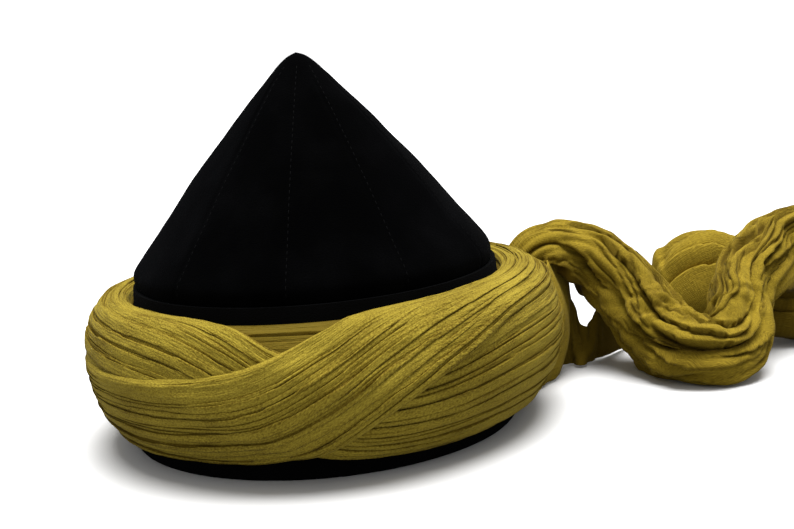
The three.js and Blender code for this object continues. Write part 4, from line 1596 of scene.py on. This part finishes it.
# %% Brush the velvet
PATCHES = {"Scale": 38, "Detail": 4}
HAIRS = {"Scale": 1400, "Detail": 2}
PATCH_RANGE = {"From Min": 0.42, "From Max": 0.72}
PILE_DEPTH = 0.0003
VELVET_FINISH = {
    "Roughness": 1,
    "Specular IOR Level": 0.012,
    "Sheen Roughness": 0.45,
    "Sheen Tint": (0.75, 0.82, 1, 1),
}
VELVETS = {
    # colours of the pile and of its brushed patches, strength of the sheen
    "velvet": ((0.0003, 0.0003, 0.00035, 1), (0.0018, 0.0018, 0.002, 1), 0.005),
    # painted lighter than the crown's velvet, to lift the rim out of the shade under the winding
    "rim_velvet_painted_lighter": ((0.0025, 0.0025, 0.0026, 1), (0.004, 0.004, 0.0042, 1), 0.005),
    "lining": ((0.012, 0.012, 0.013, 1), (0.02, 0.02, 0.021, 1), 0),
}

pile, given, result = new_group(
    "velvet_pile",
    {"Dark": "Color", "Brushed": "Color"},
    {"Color": "Color", "Height": "Float"},
)
place_on = node(pile, "ShaderNodeTexCoord")
brushing = node(pile, "ShaderNodeTexNoise", PATCHES)
hairs = node(pile, "ShaderNodeTexNoise", HAIRS)
for texture in (brushing, hairs):
    pile.links.new(place_on.outputs["Object"], texture.inputs["Vector"])
clouded = node(pile, "ShaderNodeMapRange", PATCH_RANGE)
pile.links.new(brushing.outputs["Fac"], clouded.inputs["Value"])
speckled = node(pile, "ShaderNodeMath", operation="MULTIPLY")
pile.links.new(clouded.outputs["Result"], speckled.inputs[0])
pile.links.new(hairs.outputs["Fac"], speckled.inputs[1])
blended = node(pile, "ShaderNodeMix", data_type="RGBA")
pile.links.new(speckled.outputs["Value"], blended.inputs["Factor"])
pile.links.new(given.outputs["Dark"], blended.inputs["A"])
pile.links.new(given.outputs["Brushed"], blended.inputs["B"])
pile.links.new(blended.outputs["Result"], result.inputs["Color"])
pile.links.new(hairs.outputs["Fac"], result.inputs["Height"])

velvets = {}
for name, (dark, brushed, sheen) in VELVETS.items():
    finish = {"Sheen Weight": sheen, **VELVET_FINISH}
    values = {"Dark": dark, "Brushed": brushed}
    velvets[name] = patterned_material(name, finish, pile, values, PILE_DEPTH)
for piece, outside in ((crown, "velvet"), (band, "rim_velvet_painted_lighter")):
    piece.data.materials.append(velvets[outside])
    piece.data.materials.append(velvets["lining"])
print("the velvet is brushed")

# %% Dye the sewing thread
THREAD_FINISH = {
    "Base Color": (0.0016, 0.0016, 0.0018, 1),
    "Roughness": 0.9,
    "Specular IOR Level": 0.08,
}

thread, _, _ = new_material("seam_thread", THREAD_FINISH)
seam_thread.data.materials.append(thread)
print("the thread is dyed")

# %% [markdown]
# ## Attach each piece and hide its solid
# Each new piece moves with the cap's one body, and the solid that it replaces is hidden.

PLACES = [
    (crown, "crown", "velvet"),
    (band, "side_band", "velvet"),
    (inner, "inner_winding", "wrap_cloth"),
    (lap_under, "lap_under", "wrap_cloth"),
    (lap_over, "lap_over", "wrap_cloth"),
    (tail, "tail", "wrap_cloth"),
    (drape, "tail_drape", "wrap_cloth"),
]

for piece, solid, slot_name in PLACES:
    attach(piece, "root")
    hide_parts(solid)
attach(seam_thread, "root")
